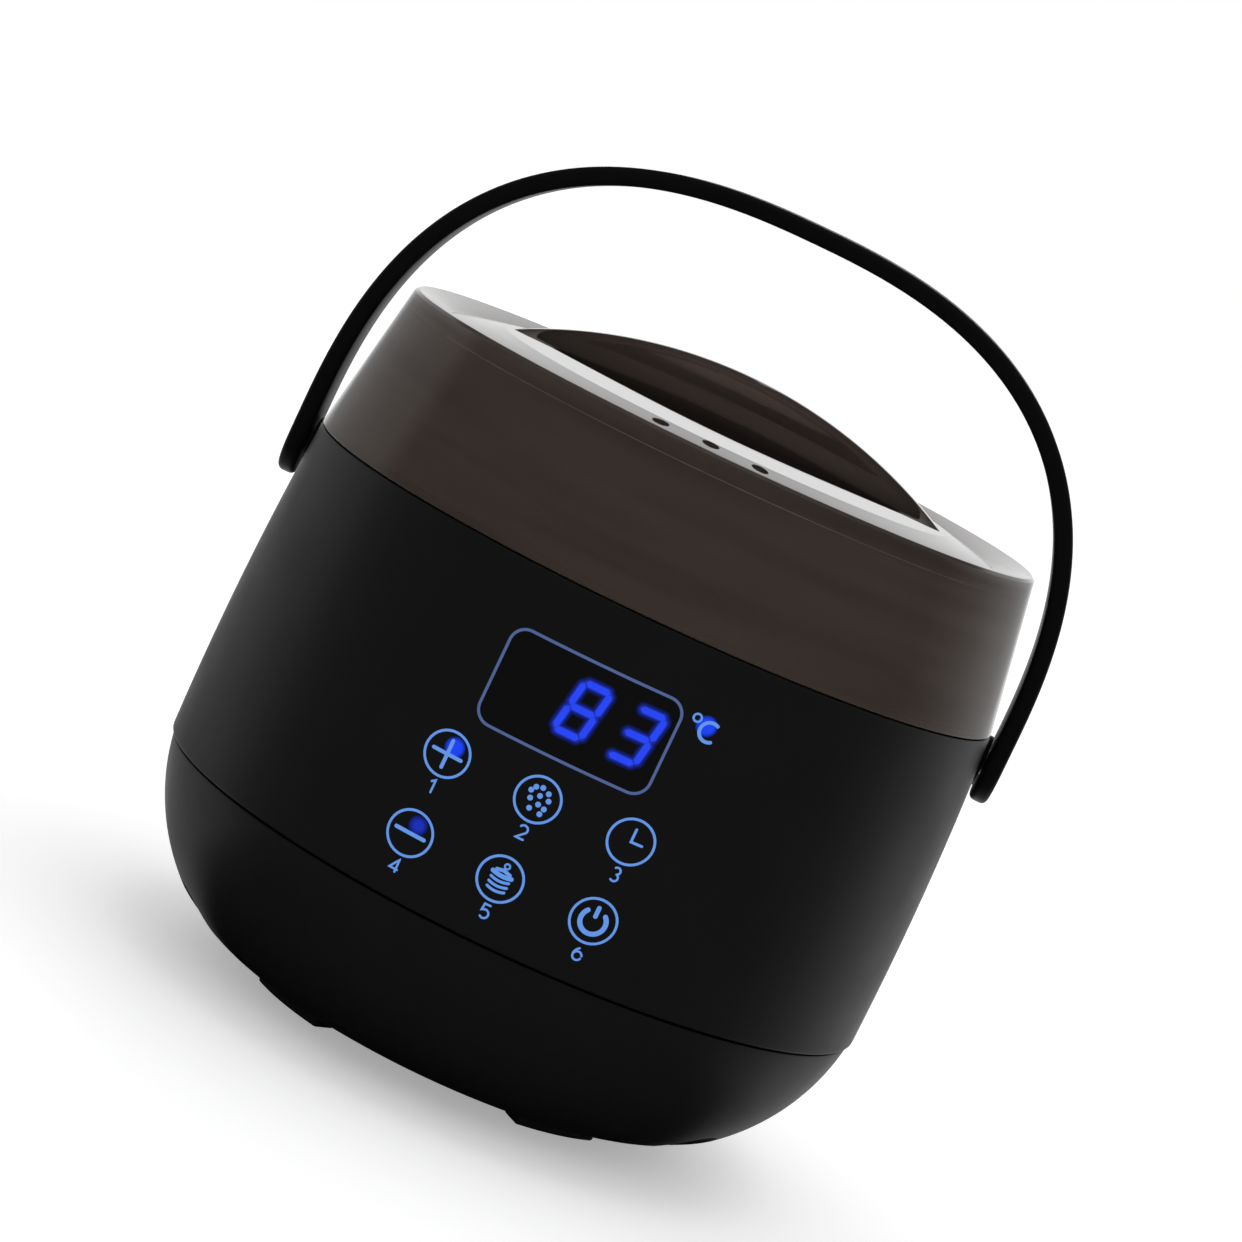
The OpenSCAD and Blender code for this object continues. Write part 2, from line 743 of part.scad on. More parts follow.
module pivot_spacers() {
    color([0.1, 0.1, 0.1])
    for (side = [-1, 1])
        difference() {
            side_rod(spacer_r, spacer_back_x, spacer_front_x, side);
            side_rod(shoulder_r + slip_gap, spacer_back_x - through, spacer_front_x + through, side);
        }
}

module pivot_inserts() {
    color([0.75, 0.6, 0.25])
    for (side = [-1, 1])
        difference() {
            side_rod(insert_r, spacer_back_x - boss_len, spacer_back_x - boss_len + insert_len, side);
            side_rod(pivot_thread_r + fit_gap, spacer_back_x - boss_len - through,
                     spacer_back_x - boss_len + insert_len + through, side);
        }
}

// Lid

// Radius of the finger hollow's spindle at a distance along the grip
function spindle_at(x) = spindle_end_r + (spindle_r - spindle_end_r) * pow(cos(90 * x / grip_half), 2);
spindle_xs = [for (i = [0:spindle_steps]) -grip_half + 2 * grip_half * i / spindle_steps];

// The hollow for the fingers on both sides of the grip
module grip_hollow(grow) {
    translate([0, 0, spindle_z]) rotate([0, 90, 0])
        lathe(concat([[0, -grip_half]], [for (x = spindle_xs) [spindle_at(x) + grow, x]],
                     [[0, grip_half]]));
}

// The arched plate of the grip, taken in by a wall, down to the middle of the hollow's floor
module grip_plate(inset) {
    r = grip_arch_r - inset;
    half = grip_t / 2 - inset;
    bevel = grip_bevel - inset / 2;
    floor_line = [for (x = spindle_xs) [x, spindle_z - spindle_at(x) - lid_wall / 2 - 2 * inset]];
    intersection() {
        translate([0, 0, grip_top_z - grip_arch_r]) rotate([90, 0, 0])
            lathe([[0, -half], [r - bevel, -half], [r, bevel - half], [r, half - bevel],
                   [r - bevel, half], [0, half]]);
        translate([0, grip_t, 0]) rotate([90, 0, 0])
            linear_extrude(2 * grip_t)
                polygon(concat(floor_line, [[grip_half, grip_top_z + through],
                                            [-grip_half, grip_top_z + through]]));
    }
}

// The lid's outer form as one full block, with the finger hollow taken out
module lid_block() {
    slope = (body_top_r - lid_rim_r) / lid_h;
    difference() {
        lathe([[0, top_z], [body_top_r, top_z], [lid_rim_r + slope * lid_bevel, rim_z - lid_bevel],
               [lid_rim_r - lid_bevel, rim_z], [groove_r, rim_z - groove_depth],
               [crown_r, crown_z], [0, crown_z]]);
        grip_hollow(0);
    }
}

module lid_cover() {
    slope = (body_top_r - lid_rim_r) / lid_h;
    in_low_r = body_top_r - lid_wall;
    in_top_z = rim_z - groove_depth - lid_wall;
    skirt_out_r = side_in_r(top_z) - skirt_gap;
    color([0.2, 0.17, 0.15, 0.75])
    difference() {
        union() {
            difference() {
                lid_block();
                difference() {
                    lathe([[0, top_z - through], [in_low_r + slope * through, top_z - through],
                           [in_low_r - slope * (in_top_z - top_z), in_top_z], [0, in_top_z]]);
                    grip_hollow(lid_wall);
                }
            }
            tube(skirt_out_r - skirt_t, skirt_out_r, top_z - skirt_h, top_z + skirt_root_h);
            tube(skirt_out_r - through, in_low_r + through, top_z, top_z + skirt_root_h);
        }
        for (i = [0:vents - 1])
            translate([(i - (vents - 1) / 2) * vent_pitch, -vent_ring_r, 0])
                rod(vent_r, in_top_z - through, rim_z + through);
    }
}

// The grip stands on the finger hollow's floor and is hollow below
module lid_grip() {
    color([0.17, 0.14, 0.12, 0.85])
    difference() {
        grip_plate(0);
        lid_block();
        grip_plate(lid_wall);
    }
}

// Pot and heater

module inner_pot() {
    edge = pot_rim_t / 3;
    color([0.78, 0.79, 0.8])
    difference() {
        lathe([[0, pot_z], [pot_r - pot_bevel, pot_z], [pot_r, pot_z + pot_bevel],
               [pot_r, pot_rim_z - pot_rim_t], [pot_rim_r - edge, pot_rim_z - pot_rim_t],
               [pot_rim_r, pot_rim_z - pot_rim_t + edge],
               [pot_rim_r, pot_rim_z - edge], [pot_rim_r - edge, pot_rim_z], [0, pot_rim_z]]);
        lathe([[0, pot_z + pot_floor], [pot_r - pot_bevel - pot_wall / 2, pot_z + pot_floor],
               [pot_r - pot_wall, pot_z + pot_bevel + pot_floor / 2],
               [pot_r - pot_wall, pot_rim_z + through], [0, pot_rim_z + through]]);
    }
}

module heating_cup() {
    color([0.7, 0.71, 0.72])
    difference() {
        union() {
            rod(cup_out_r, cup_z, cup_seat_z);
            rod(flange_r, deck_z, deck_z + flange_t);
        }
        rod(cup_in_r, cup_top_z, cup_seat_z + through);
        at_cup_screws() rod(cup_screw_r + slip_gap, deck_z - through, deck_z + flange_t + through);
    }
}

module cup_screws() {
    color([0.6, 0.6, 0.62])
    at_cup_screws() {
        rod(cup_screw_r - fit_gap, deck_z - cup_screw_len, deck_z + flange_t);
        rod(cup_head_r, deck_z + flange_t, deck_z + flange_t + cup_head_h);
    }
}

module band_heater() {
    z0 = cup_z + band_lift;
    color([0.72, 0.55, 0.35])
    difference() {
        tube(band_in_r, band_in_r + band_t, z0, z0 + band_h);
        box([-band_slot_w / 2, 0, z0 - through], [band_slot_w / 2, flange_r, z0 + band_h + through]);
    }
}

module heater_plate() {
    color([0.65, 0.62, 0.55])
    difference() {
        rod(plate_r, plate_z, plate_z + plate_t);
        translate([0, -sensor_reach, 0])
            rod(sensor_r + slip_gap, plate_z - through, plate_z + plate_t + through);
    }
}

module insulation_sleeve() {
    color([0.88, 0.87, 0.82]) tube(sleeve_in_r, sleeve_in_r + sleeve_t, sleeve_z, sleeve_z + sleeve_h);
}

module heat_shield() {
    ear_r = pillar_r + 1.6;
    color([0.75, 0.76, 0.78])
    difference() {
        union() {
            rod(shield_r, shield_z, shield_z + shield_t);
            at_case_screws() rod(ear_r, shield_z, shield_z + shield_t);
        }
        at_case_screws() rod(case_screw_r + slip_gap, shield_z - through, shield_z + shield_t + through);
        for (side = [-1, 1])
            translate([side * heater_lead_x, heater_lead_y, 0])
                rod(lead_r + seat_gap, shield_z - through, shield_z + shield_t + through);
    }
}

module temperature_sensor() {
    color([0.85, 0.85, 0.8])
        translate([0, -sensor_reach, 0]) rod(sensor_r, cup_z - heater_gap - sensor_h, cup_z - heater_gap);
}

module sensor_clip() {
    z = cup_z - heater_gap - sensor_h;
    bend = sensor_r + clip_over;
    color([0.8, 0.8, 0.82])
        translate([clip_w / 2, -sensor_reach, 0]) rotate([0, -90, 0])
            linear_extrude(clip_w)
                polygon([[z, -bend], [z, bend], [plate_z, bend + clip_t], [plate_z, bend + clip_foot],
                         [plate_z - clip_t, bend + clip_foot], [plate_z - clip_t, bend],
                         [z - clip_t, bend], [z - clip_t, -bend]]);
}

module thermal_fuse() {
    color([0.9, 0.88, 0.8])
        translate([-fuse_len / 2, fuse_reach, plate_z - fuse_r - heater_gap]) rotate([0, 90, 0])
            cylinder(r = fuse_r, h = fuse_len);
}

// Control board

module control_board() {
    color([0.05, 0.3, 0.15])
    difference() {
        box([-ctrl_w / 2, -ctrl_reach, ctrl_z], [ctrl_w / 2, -ctrl_back, ctrl_top_z]);
        for (x = [-ctrl_post_x, ctrl_post_x], z = ctrl_post_zs)
            front_rod(board_screw_r + slip_gap, x, z, ctrl_back - through, ctrl_reach + through);
    }
}

module control_board_screws() {
    color([0.6, 0.6, 0.62])
    for (x = [-ctrl_post_x, ctrl_post_x], z = ctrl_post_zs) {
        front_rod(board_screw_r - fit_gap, x, z, ctrl_back, ctrl_back + board_screw_len);
        front_rod(board_head_r, x, z, ctrl_back - board_head_h, ctrl_back);
    }
}

module led_display() {
    reach = sqrt(pow(side_in_min(window_z, window_h / 2), 2) - pow(window_w / 2, 2)) - seat_gap;
    color([0.12, 0.12, 0.14])
        box([-window_w / 2 + 1, -reach, window_z - window_h / 2 + 1],
            [window_w / 2 - 1, -ctrl_reach, window_z + window_h / 2 - 1]);
}

module touch_springs() {
    color([0.8, 0.75, 0.5])
    for (x = keys_x, z = keys_z) {
        reach = sqrt(pow(side_in_min(z, key_spring_r), 2) - pow(abs(x) + key_spring_r, 2)) - seat_gap;
        difference() {
            front_rod(key_spring_r, x, z, ctrl_reach, reach);
            front_rod(key_spring_r - key_spring_t, x, z, ctrl_reach - through, reach + through);
        }
    }
}

module key_leds() {
    color([0.5, 0.7, 1])
    for (x = keys_x, z = keys_z)
        box([x - led_w / 2, -ctrl_reach - led_h, z - led_below],
            [x + led_w / 2, -ctrl_reach, z - led_below + led_w]);
}

module ribbon_socket() {
    color([0.9, 0.9, 0.85])
        box([-socket_w / 2, -ctrl_back, socket_z],
            [socket_w / 2, -ctrl_back + socket_d, socket_z + socket_h]);
}

module control_ribbon() {
    z_low = power_top_z + header_h / 2;
    color([0.8, 0.8, 0.8])
        translate([ribbon_w / 2, 0, 0]) rotate([0, -90, 0])
            linear_extrude(ribbon_w)
                polygon([[z_low, header_y], [z_low, ribbon_y - ribbon_t], [socket_z, ribbon_y - ribbon_t],
                         [socket_z, ribbon_y], [z_low + ribbon_t, ribbon_y], [z_low + ribbon_t, header_y]]);
}

// Power board

module power_board() {
    color([0.1, 0.35, 0.2])
    difference() {
        box([-power_w / 2, power_y0, power_z], [power_w / 2, power_y1, power_top_z]);
        for (x = [-power_post_x, power_post_x], y = power_post_ys)
            translate([x, y, 0]) rod(board_screw_r + slip_gap, power_z - through, power_top_z + through);
    }
}

module power_board_screws() {
    color([0.6, 0.6, 0.62])
    for (x = [-power_post_x, power_post_x], y = power_post_ys)
        translate([x, y, 0]) {
            rod(board_screw_r - fit_gap, power_top_z - board_screw_len, power_top_z);
            rod(board_head_r, power_top_z, power_top_z + board_head_h);
        }
}

module power_transformer() {
    core_z = power_top_z + transformer_h * 0.3;
    color([0.85, 0.75, 0.2])
    difference() {
        box([transformer_x, -transformer_w / 2, power_top_z],
            [transformer_x + transformer_w, transformer_w / 2, power_top_z + transformer_h]);
        box([transformer_x + transformer_w * 0.2, -transformer_w, core_z],
            [transformer_x + transformer_w * 0.8, through - transformer_w / 2, core_z + transformer_h * 0.4]);
    }
}

module power_relay() {
    color([0.1, 0.2, 0.55])
        box([relay_x, -relay_d, power_top_z], [relay_x + relay_w, 0, power_top_z + relay_h]);
}

module power_capacitor() {
    color([0.2, 0.2, 0.22])
        translate([relay_x + relay_w / 2, capacitor_r + part_gap, 0])
            rod(capacitor_r, power_top_z, power_top_z + capacitor_h);
}

module terminal_block() {
    color([0.1, 0.45, 0.3])
        box([-terminal_w / 2, terminal_y, power_top_z],
            [terminal_w / 2, terminal_y + terminal_d, power_top_z + terminal_h]);
}

module ribbon_header() {
    color([0.9, 0.9, 0.85])
        box([-socket_w / 2, header_y, power_top_z],
            [socket_w / 2, header_y + header_d, power_top_z + header_h]);
}

module heater_leads() {
    color([0.8, 0.15, 0.1])
    for (side = [-1, 1])
        translate([side * heater_lead_x, heater_lead_y, 0]) rod(lead_r, power_top_z + terminal_h, plate_z);
}

// Power inlet

module power_inlet() {
    w = inlet_w / 2;
    h = inlet_h / 2;
    m = inlet_margin;
    color([0.04, 0.04, 0.04])
    difference() {
        union() {
            box([-w, flange_back_y, inlet_z - h], [w, inlet_reach, inlet_z + h]);
            box([-w + m, inlet_back_y, inlet_z - h + m], [w - m, flange_back_y, inlet_z + h - m]);
        }
        translate([0, inlet_reach - socket_depth, inlet_z]) {
            for (side = [-1, 1])
                translate([side * pin_pitch / 2, 0, 0]) rotate([-90, 0, 0])
                    cylinder(r = socket_r, h = socket_depth + through);
            box([-pin_pitch / 2, 0, -socket_waist], [pin_pitch / 2, socket_depth + through, socket_waist]);
        }
        for (side = [-1, 1])
            translate([side * pin_pitch / 2, inlet_back_y - through, inlet_z]) rotate([-90, 0, 0])
                cylinder(r = inlet_pin_r + fit_gap, h = inlet_len + through);
    }
}

module inlet_pins() {
    color([0.8, 0.75, 0.6])
    for (side = [-1, 1])
        translate([side * pin_pitch / 2, inlet_back_y - pin_tail, inlet_z]) rotate([-90, 0, 0])
            cylinder(r = inlet_pin_r, h = inlet_len + pin_tail);
}

module inlet_leads() {
    color([0.3, 0.3, 0.35])
    for (side = [-1, 1])
        translate([side * pin_pitch / 2, terminal_y + terminal_d, lead_z]) rotate([-90, 0, 0])
            cylinder(r = lead_r, h = inlet_back_y - pin_tail - terminal_y - terminal_d);
}

base_shell();
foot_front_left();
foot_front_right();
foot_rear_left();
foot_rear_right();
case_screws();
body_shell();
top_deck();
display_window();
bail();
pivot_screws();
pivot_spacers();
pivot_inserts();
lid_cover();
lid_grip();
inner_pot();
heating_cup();
cup_screws();
band_heater();
heater_plate();
insulation_sleeve();
heat_shield();
temperature_sensor();
sensor_clip();
thermal_fuse();
control_board();
control_board_screws();
led_display();
touch_springs();
key_leds();
ribbon_socket();
control_ribbon();
power_board();
power_board_screws();
power_transformer();
power_relay();
power_capacitor();
terminal_block();
ribbon_header();
heater_leads();
power_inlet();
inlet_pins();
inlet_leads();
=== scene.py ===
# %% [markdown]
# # A salon wax warmer
# The warmer is a black drum with a smoked lid, a swinging bail handle and a lit front panel. The
# measured solids come in first as a fixed frame, and every piece made below is laid over them in the
# same place. Curved plastic shows every facet, so the outer mouldings are made again as fine meshes,
# while the parts inside keep their own solids and only get a finish.

# %% Load the frame
import bmesh
import bpy
import json
import math
from mathutils import Matrix, Vector, interpolate
from mathutils.bvhtree import BVHTree


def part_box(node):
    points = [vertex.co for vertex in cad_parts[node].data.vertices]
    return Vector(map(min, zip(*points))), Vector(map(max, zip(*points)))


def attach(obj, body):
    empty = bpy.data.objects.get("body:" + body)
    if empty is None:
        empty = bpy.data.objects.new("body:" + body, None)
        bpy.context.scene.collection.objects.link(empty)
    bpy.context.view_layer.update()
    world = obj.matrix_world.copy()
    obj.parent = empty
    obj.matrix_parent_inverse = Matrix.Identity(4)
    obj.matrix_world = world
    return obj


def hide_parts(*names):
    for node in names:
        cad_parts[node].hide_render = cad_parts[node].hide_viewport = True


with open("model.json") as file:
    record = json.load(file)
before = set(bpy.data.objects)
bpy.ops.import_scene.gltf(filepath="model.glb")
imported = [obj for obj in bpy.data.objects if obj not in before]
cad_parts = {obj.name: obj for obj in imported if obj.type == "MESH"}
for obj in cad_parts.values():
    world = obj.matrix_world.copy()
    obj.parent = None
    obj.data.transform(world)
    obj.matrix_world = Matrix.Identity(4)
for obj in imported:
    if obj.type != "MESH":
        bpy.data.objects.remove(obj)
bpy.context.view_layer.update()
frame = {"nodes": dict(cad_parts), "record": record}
MM = 0.001

# %% [markdown]
# ## Sizes
# Most sizes are read from the boxes of the solids, so the dress follows the frame if the frame changes.
# What a box can't tell, such as the radius of a curve, is named once, in the cell that first needs it.
# All sizes are millimetres.

# %% Sizes
def low(node, axis):
    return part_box(node)[0][axis] / MM


def high(node, axis):
    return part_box(node)[1][axis] / MM


def middle(node, axis):
    return (low(node, axis) + high(node, axis)) / 2


def extent(node, axis):
    return high(node, axis) - low(node, axis)


wall = 2.6
body_low, body_top = low("body_shell", 2), high("body_shell", 2)
body_r = 85.0
bow_r, bow_z = 740.0, 60.0
seam_z = body_low - 0.5
lid_line = body_top + 0.3
base_low = low("base_shell", 2)
rim_z = lid_line + 36.0
crown_z = high("lid_cover", 2)
grip_top = high("lid_grip", 2)
pivot_z = middle("pivot_screws", 2)


def side_r(z):
    """Radius of the body's gently bowed side at a height."""
    return body_r - bow_r + math.sqrt(bow_r ** 2 - (z - bow_z) ** 2)


print("seam", seam_z, "lid line", round(lid_line, 2), "crown", round(crown_z, 2))

# %% [markdown]
# ## Sums on sockets
# Shader maths is easier to read as sums than as boxes and wires. A small class wraps the output of a
# node, and each operator on it adds the Math node that does the sum. Colours and directions have three
# parts, and a Math node would turn them grey, so those go through Mix and Vector Math nodes.

# %% Wrapped sockets and recipes
class Wire:
    """The output of a node, for use in sums and as the input of other nodes."""

    def __init__(self, recipe, socket):
        self.recipe = recipe
        self.socket = socket

    def sum(self, operation, first, second):
        return self.recipe.add("ShaderNodeMath", {"operation": operation}, {0: first, 1: second})

    def __add__(self, other):
        return self.sum("ADD", self, other)

    def __sub__(self, other):
        return self.sum("SUBTRACT", self, other)

    def __rsub__(self, other):
        return self.sum("SUBTRACT", other, self)

    def __mul__(self, other):
        return self.sum("MULTIPLY", self, other)

    __radd__ = __add__
    __rmul__ = __mul__


class Recipe:
    """A finish while it is being mixed: a material, or another owner, and the nodes in it."""

    def __init__(self, name, owner=None):
        self.owner = owner or bpy.data.materials.new(name)
        self.owner.use_nodes = True
        self.tree = self.owner.node_tree
        self.tree.nodes.clear()

    def add(self, kind, settings=None, values=None, output=0):
        """Adds a node: first its settings, then the values or wires of its sockets."""
        node = self.tree.nodes.new(kind)
        for name, setting in (settings or {}).items():
            setattr(node, name, setting)
        for name, value in (values or {}).items():
            socket = node.inputs[name]
            if isinstance(value, Wire):
                self.tree.links.new(value.socket, socket)
            elif socket.type == "RGBA":
                socket.default_value = (*value, 1)
            else:
                socket.default_value = value
        return Wire(self, node.outputs[output] if node.outputs else None)

    def mix(self, factor, first, second):
        """A colour between two colours."""
        return self.add("ShaderNodeMix", {"data_type": "RGBA"}, {0: factor, 6: first, 7: second}, 2)

    def place(self, stretch=(1, 1, 1)):
        """The point on the piece, in metres, stretched along the axes."""
        point = self.add("ShaderNodeTexCoord", output=3)
        return self.add("ShaderNodeVectorMath", {"operation": "MULTIPLY"}, {0: point, 1: stretch})

    def noise(self, size, detail=3, stretch=(1, 1, 1)):
        """Soft random spots about so many millimetres wide, from 0 to 1."""
        values = {"Vector": self.place(stretch), "Scale": 1 / (size * MM), "Detail": detail}
        return self.add("ShaderNodeTexNoise", None, values)

    def ramp(self, value, start, end):
        """0 up to the start, 1 from the end on, and a straight line between."""
        return self.add("ShaderNodeMapRange", None, {"Value": value, "From Min": start, "From Max": end})

    def bump(self, height, depth):
        """The direction of a surface with relief of so many millimetres."""
        return self.add("ShaderNodeBump", None, {"Strength": 1.0, "Distance": depth * MM, "Height": height})

    def finish(self, values):
        """Ends the recipe in a Principled surface."""
        surface = self.add("ShaderNodeBsdfPrincipled", None, values)
        self.add("ShaderNodeOutputMaterial", None, {"Surface": surface})
        return self.owner


def shade(colour, factor):
    return tuple(min(1.0, part * factor) for part in colour)


print("recipes ready")

# %% [markdown]
# ## Finishes
# Moulded plastic is never one flat colour: its tone drifts a little over a hand's width, and the mould's
# spark-worn face leaves a fine grain. Both come from noise in the piece's own space, so the grain keeps
# its real size. One function mixes all the plain plastics, and another all the metals.

# %% Plain plastics
def plastic(name, colour, rough=0.45, drift=0.12, grain=0.5, relief=0.012, more=None):
    recipe = Recipe(name)
    tone = recipe.noise(18)
    fine = recipe.noise(grain)
    values = {
        "Base Color": recipe.mix(tone, shade(colour, 1 - drift), shade(colour, 1 + drift)),
        "Roughness": (tone - 0.5) * 0.16 + rough,
        "Normal": recipe.bump(fine, relief),
    }
    values.update(more or {})
    return recipe.finish(values)


# %% Metals
def metal(name, colour, rough=0.3, stretch=(1, 1, 1), scratch=0.6, relief=0.006, stain=0.1):
    recipe = Recipe(name)
    lines = recipe.noise(scratch, 4, stretch)
    cloud = recipe.noise(14)
    return recipe.finish({
        "Base Color": recipe.mix(cloud, shade(colour, 1 - stain), colour),
        "Metallic": 1.0,
        "Roughness": (lines - 0.5) * 0.2 + rough,
        "Normal": recipe.bump(lines, relief),
    })


# %% [markdown]
# The case is black with a satin bloom. Its colour is close to what the eye reads as black, so the form
# shows by the light along its sides. The bloom is wide, so the roughness is high and the grain shallow.

# %% Case black
case_black = plastic("case_black", (0.0088, 0.0088, 0.0092), 0.4, 0.08, 0.45, 0.006)


# %% [markdown]
# The lid is clear plastic with a brown smoke in it. Light loses most of its strength on each pass, so the
# pot's rim is only just seen inside. Glass alone would look hollow, so a share of the surface also
# scatters. Long soft streaks round the side are the flow marks of the moulding. The scattered colour
# also changes with height, which is painted light: a little lighter on the lid's top as a painted sheen,
# and near black low on the grip as painted shade in the dish.

# %% Smoked lid
def smoked(name, clear, haze_below, haze_above, rough, satin, start, end):
    recipe = Recipe(name)
    flow = recipe.noise(110, 3, (1, 1, 18))
    fine = recipe.noise(3.5, 2)
    height = recipe.add("ShaderNodeSeparateXYZ", None, {0: recipe.place()}, 2)
    top = recipe.ramp(height, start * MM, end * MM)
    # The colour's change with height is painted light: lighter on the lid's top as painted sheen, near black
    # low on the grip as painted shade.
    haze_with_painted_light = recipe.mix(top, haze_below, haze_above)
    return recipe.finish({
        "Base Color": recipe.mix((flow - 0.5) * 0.6 + 0.4, haze_with_painted_light, (0, 0, 0)),
        "Roughness": (fine - 0.5) * 0.03 + top * (satin - rough) + rough,
        "Transmission Weight": clear,
        "IOR": 1.49,
        "Coat Weight": top * 0.5,
        "Coat Roughness": 0.14,
        "Coat IOR": 2.0,
        "Normal": recipe.bump(fine, 0.003),
    })


# %% Finish of each material slot
finishes = {
    "body_plastic": case_black,
    "window_plastic": plastic("window_black", (0.0062, 0.0062, 0.0068), 0.3, 0.06, 0.8, 0.003),
    "strap_plastic": plastic("strap_black", (0.0055, 0.0045, 0.005), 0.45, 0.1, 0.7, 0.008,
                             {"Specular IOR Level": 0.3}),
    # The lid's top tone is a little lighter than its side, a painted sheen on the crown.
    "lid_plastic": smoked("lid_smoke", 0.62, (0.2, 0.152, 0.126), (0.22, 0.175, 0.152), 0.09, 0.16,
                          rim_z - 2.5, rim_z - 0.5),
    "foot_rubber": plastic("foot_rubber", (0.011, 0.011, 0.011), 0.72, 0.2, 0.6, 0.03),
    "pot_aluminium": metal("pot_aluminium", (0.78, 0.79, 0.8), 0.26, (1, 1, 14)),
    "cup_aluminium": metal("cup_aluminium", (0.56, 0.57, 0.58), 0.38, (1, 1, 10)),
    "shield_sheet": metal("shield_sheet", (0.7, 0.71, 0.72), 0.32, (8, 1, 1)),
    "heater_mica": plastic("heater_mica", (0.42, 0.26, 0.11), 0.4, 0.3, 2.2, 0.03),
    "heater_plate": metal("heater_plate", (0.55, 0.53, 0.48), 0.5, (1, 1, 1), 1.5, 0.03),
    "glass_wool": plastic("glass_wool", (0.72, 0.7, 0.6), 0.9, 0.18, 1.2, 0.25),
    "ceramic_part": plastic("ceramic_part", (0.74, 0.72, 0.66), 0.25, 0.06, 1.4, 0.006),
    "spring_steel": metal("spring_steel", (0.7, 0.69, 0.66), 0.22, (1, 1, 6)),
    "circuit_board": plastic("circuit_board", (0.015, 0.12, 0.04), 0.3, 0.25, 1.1, 0.03),
    "display_block": plastic("display_block", (0.02, 0.02, 0.022), 0.5, 0.15, 0.6, 0.02),
    "led_lens": plastic("led_lens", (0.5, 0.68, 0.9), 0.12, 0.08, 0.9, 0.004),
    "connector_plastic": plastic("connector_nylon", (0.72, 0.7, 0.6), 0.42, 0.08, 0.7, 0.01),
    "ribbon_jacket": plastic("ribbon_jacket", (0.35, 0.35, 0.36), 0.5, 0.1, 1.3, 0.08),
    "transformer_tape": plastic("transformer_tape", (0.62, 0.44, 0.05), 0.25, 0.12, 2.5, 0.04),
    "relay_case": plastic("relay_case", (0.02, 0.06, 0.26), 0.35, 0.1, 0.7, 0.01),
    "capacitor_sleeve": plastic("capacitor_sleeve", (0.02, 0.02, 0.028), 0.2, 0.1, 1.5, 0.01),
    "terminal_plastic": plastic("terminal_nylon", (0.02, 0.17, 0.07), 0.45, 0.1, 0.7, 0.012),
    "lead_silicone": plastic("lead_silicone", (0.42, 0.02, 0.015), 0.55, 0.15, 1.0, 0.02),
    "lead_pvc": plastic("lead_sleeve", (0.05, 0.05, 0.07), 0.35, 0.12, 1.0, 0.015),
    "inlet_plastic": plastic("inlet_black", (0.01, 0.01, 0.0105), 0.36, 0.12, 0.5, 0.008),
    "pin_brass": metal("pin_brass", (0.78, 0.6, 0.3), 0.24, (1, 6, 1)),
    "screw_steel": metal("screw_steel", (0.56, 0.56, 0.58), 0.3, (1, 1, 5)),
}
for part in frame["record"]["subparts"]:
    mesh = frame["nodes"][part["node"]].data
    mesh.materials.clear()
    mesh.materials.append(finishes[part["material_slot"]])

# %% [markdown]
# ## Making meshes
# Nearly everything outside is turned or swept. An outline of radius and height is turned round the
# axis, with its corners broken by small arcs first, because real moulded corners are never sharp and
# their thin highlights are what makes them read as plastic.

# %% Angles in degrees
def sine(degrees):
    return math.sin(math.radians(degrees))


def cosine(degrees):
    return math.cos(math.radians(degrees))


def turned(degrees, axis="Z"):
    """The matrix of a turn about an axis."""
    return Matrix.Rotation(math.radians(degrees), 4, axis)


# %% Broken corners
def arc(centre, radius, start, end, steps):
    """Points on an arc between two angles in degrees, anticlockwise from the first axis."""
    angles = [math.radians(start + (end - start) * i / steps) for i in range(steps + 1)]
    return [(centre[0] + radius * math.cos(a), centre[1] + radius * math.sin(a)) for a in angles]


def eased(outline, steps=4):
    """Rounds each corner that carries a third number, its radius, with a smooth curve."""
    points = []
    for i, corner in enumerate(outline):
        if len(corner) < 3:
            points.append(Vector(corner))
            continue
        here = Vector(corner[:2])
        before = Vector(outline[i - 1][:2]) - here
        after = Vector(outline[(i + 1) % len(outline)][:2]) - here
        reach = corner[2] / math.tan(before.angle(after) / 2)
        start = here + before.normalized() * min(reach, before.length / 2)
        end = here + after.normalized() * min(reach, after.length / 2)
        for k in range(steps + 1):
            t = k / steps
            points.append(start * (1 - t) ** 2 + here * 2 * t * (1 - t) + end * t ** 2)
    return [tuple(point) for point in points]


# %% Meshes from points
def stand(name, data):
    """An object of its own in the scene."""
    thing = bpy.data.objects.new(name, data)
    bpy.context.scene.collection.objects.link(thing)
    return thing


def new_piece(name, points, faces, crease=30):
    """An object from points in millimetres, smooth except across edges sharper than the crease."""
    mesh = bpy.data.meshes.new(name)
    mesh.from_pydata([Vector(point) * MM for point in points], [], faces)
    mesh.validate()
    piece = stand(name, mesh)
    settle(piece, crease)
    return piece


def settle(piece, crease=30):
    """Turns all faces outward, joins doubled points and shades the piece smooth."""
    mesh = piece.data
    work = bmesh.new()
    work.from_mesh(mesh)
    bmesh.ops.remove_doubles(work, verts=work.verts, dist=1e-7)
    bmesh.ops.recalc_face_normals(work, faces=work.faces)
    work.to_mesh(mesh)
    work.free()
    mesh.shade_smooth()
    mesh.set_sharp_from_angle(angle=math.radians(crease))


